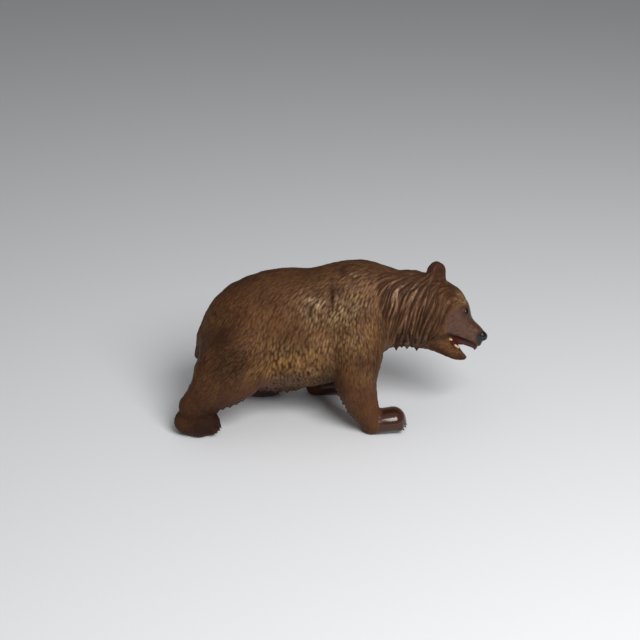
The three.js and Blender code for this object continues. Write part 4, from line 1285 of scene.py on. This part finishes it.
def makeClaws():
    places, aims = [], []
    for limb in limbs:
        for i, toe in enumerate(limb["toes"]):
            turn = i / (toeForm["count"] - 1) * 2 - 1
            places.append(toMetres(np.array(toe) + np.array([toeForm["radius"] * 0.62, turn * 0.2, -0.25])))
            aims.append((1, turn * 0.3, -0.6))
    mesh = bpy.data.meshes.new("bearClaws")
    mesh.from_pydata([tuple(place) for place in places], [], [])
    mesh.attributes.new("aim", "FLOAT_VECTOR", "POINT").data.foreach_set("vector", np.array(aims, np.float32).ravel())
    piece = addObject("bearClaws", mesh)
    rows = piece.modifiers.new("claws", "NODES")
    rows.node_group, socketShade = clawTree(darkHornStain())
    for name in ("Length", "Thickness", "Curl", "Seed"):
        rows[socketShade[name]] = claws[name.lower()]
    evaluated = piece.evaluated_get(bpy.context.evaluated_depsgraph_get())
    plain = bpy.data.meshes.new_from_object(evaluated)
    piece.modifiers.remove(rows)
    piece.data = plain
    bpy.data.meshes.remove(mesh)
    plain.name = "bearClaws"
    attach(piece, "root")


makeClaws()
report("claws set")


# Glass eyes
eyeBead = {"rings": 28, "segments": 44, "colour": "#0b0708"}


def blackGlass():
    # Near-black glass bead, fire polished: one small sharp glint
    material, tree = newMaterial("blackGlassBead")
    look = {"Base Color": linear(eyeBead["colour"]), "Roughness": 0.16, "IOR": 1.52}
    shader = addNode(tree, "ShaderNodeBsdfPrincipled", look)
    addNode(tree, "ShaderNodeOutputMaterial", {"Surface": shader})
    return material


def makeEye(name, node, centre, material):
    shape = bmesh.new()
    bmesh.ops.create_uvsphere(shape, u_segments=eyeBead["segments"], v_segments=eyeBead["rings"], radius=eyeRadius)
    bmesh.ops.translate(shape, verts=shape.verts, vec=Vector(centre))
    mesh = bpy.data.meshes.new(name)
    shape.to_mesh(mesh)
    shape.free()
    mesh.shade_smooth()
    eye = addObject(name, mesh)
    eye.data.materials.append(material)
    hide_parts(node)
    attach(eye, "root")


glass = blackGlass()
for eyeName, eyeNode, eyeCentre in zip(("rightEyeBead", "leftEyeBead"), ("right_eye", "left_eye"), eyeCentres):
    makeEye(eyeName, eyeNode, eyeCentre, glass)
report("eyes set")


# Floor and light, in metres. A light's place, what it is aimed at, its size and its power.
studio = {
    "floor": "#dcdddf",
    "reach": 4.0,
    "lights": {
        "keyLight": ((0.42, -0.92, 0.98), (0, -0.05, 0.05), 0.7, 20),
        "overheadLight": ((0, -0.1, 1.7), (0, 0, 0.05), 2.2, 4.5),
    },
    "sky": 0.2,
}


def makeStage():
    mesh = bpy.data.meshes.new("floor")
    reach = studio["reach"]
    corners = [(-reach, -reach, 0), (reach, -reach, 0), (reach, reach, 0), (-reach, reach, 0)]
    mesh.from_pydata(corners, [], [(0, 1, 2, 3)])
    floor = addObject("floor", mesh)
    material, tree = newMaterial("matteWhiteTable")
    shader = addNode(tree, "ShaderNodeBsdfPrincipled", {"Base Color": linear(studio["floor"]), "Roughness": 0.6})
    addNode(tree, "ShaderNodeOutputMaterial", {"Surface": shader})
    floor.data.materials.append(material)
    for name, (place, target, size, power) in studio["lights"].items():
        data = bpy.data.lights.new(name, "AREA")
        data.shape = "SQUARE"
        data.size = size
        data.energy = power
        light = addObject(name, data)
        light.location = place
        light.rotation_euler = (Vector(target) - Vector(place)).to_track_quat("-Z", "Y").to_euler()
    world = bpy.data.worlds.new("studio")
    world.use_nodes = True
    sky = world.node_tree.nodes["Background"].inputs
    sky["Color"].default_value = (1, 1, 1, 1)
    sky["Strength"].default_value = studio["sky"]
    bpy.context.scene.world = world


makeStage()
report("stage lit")
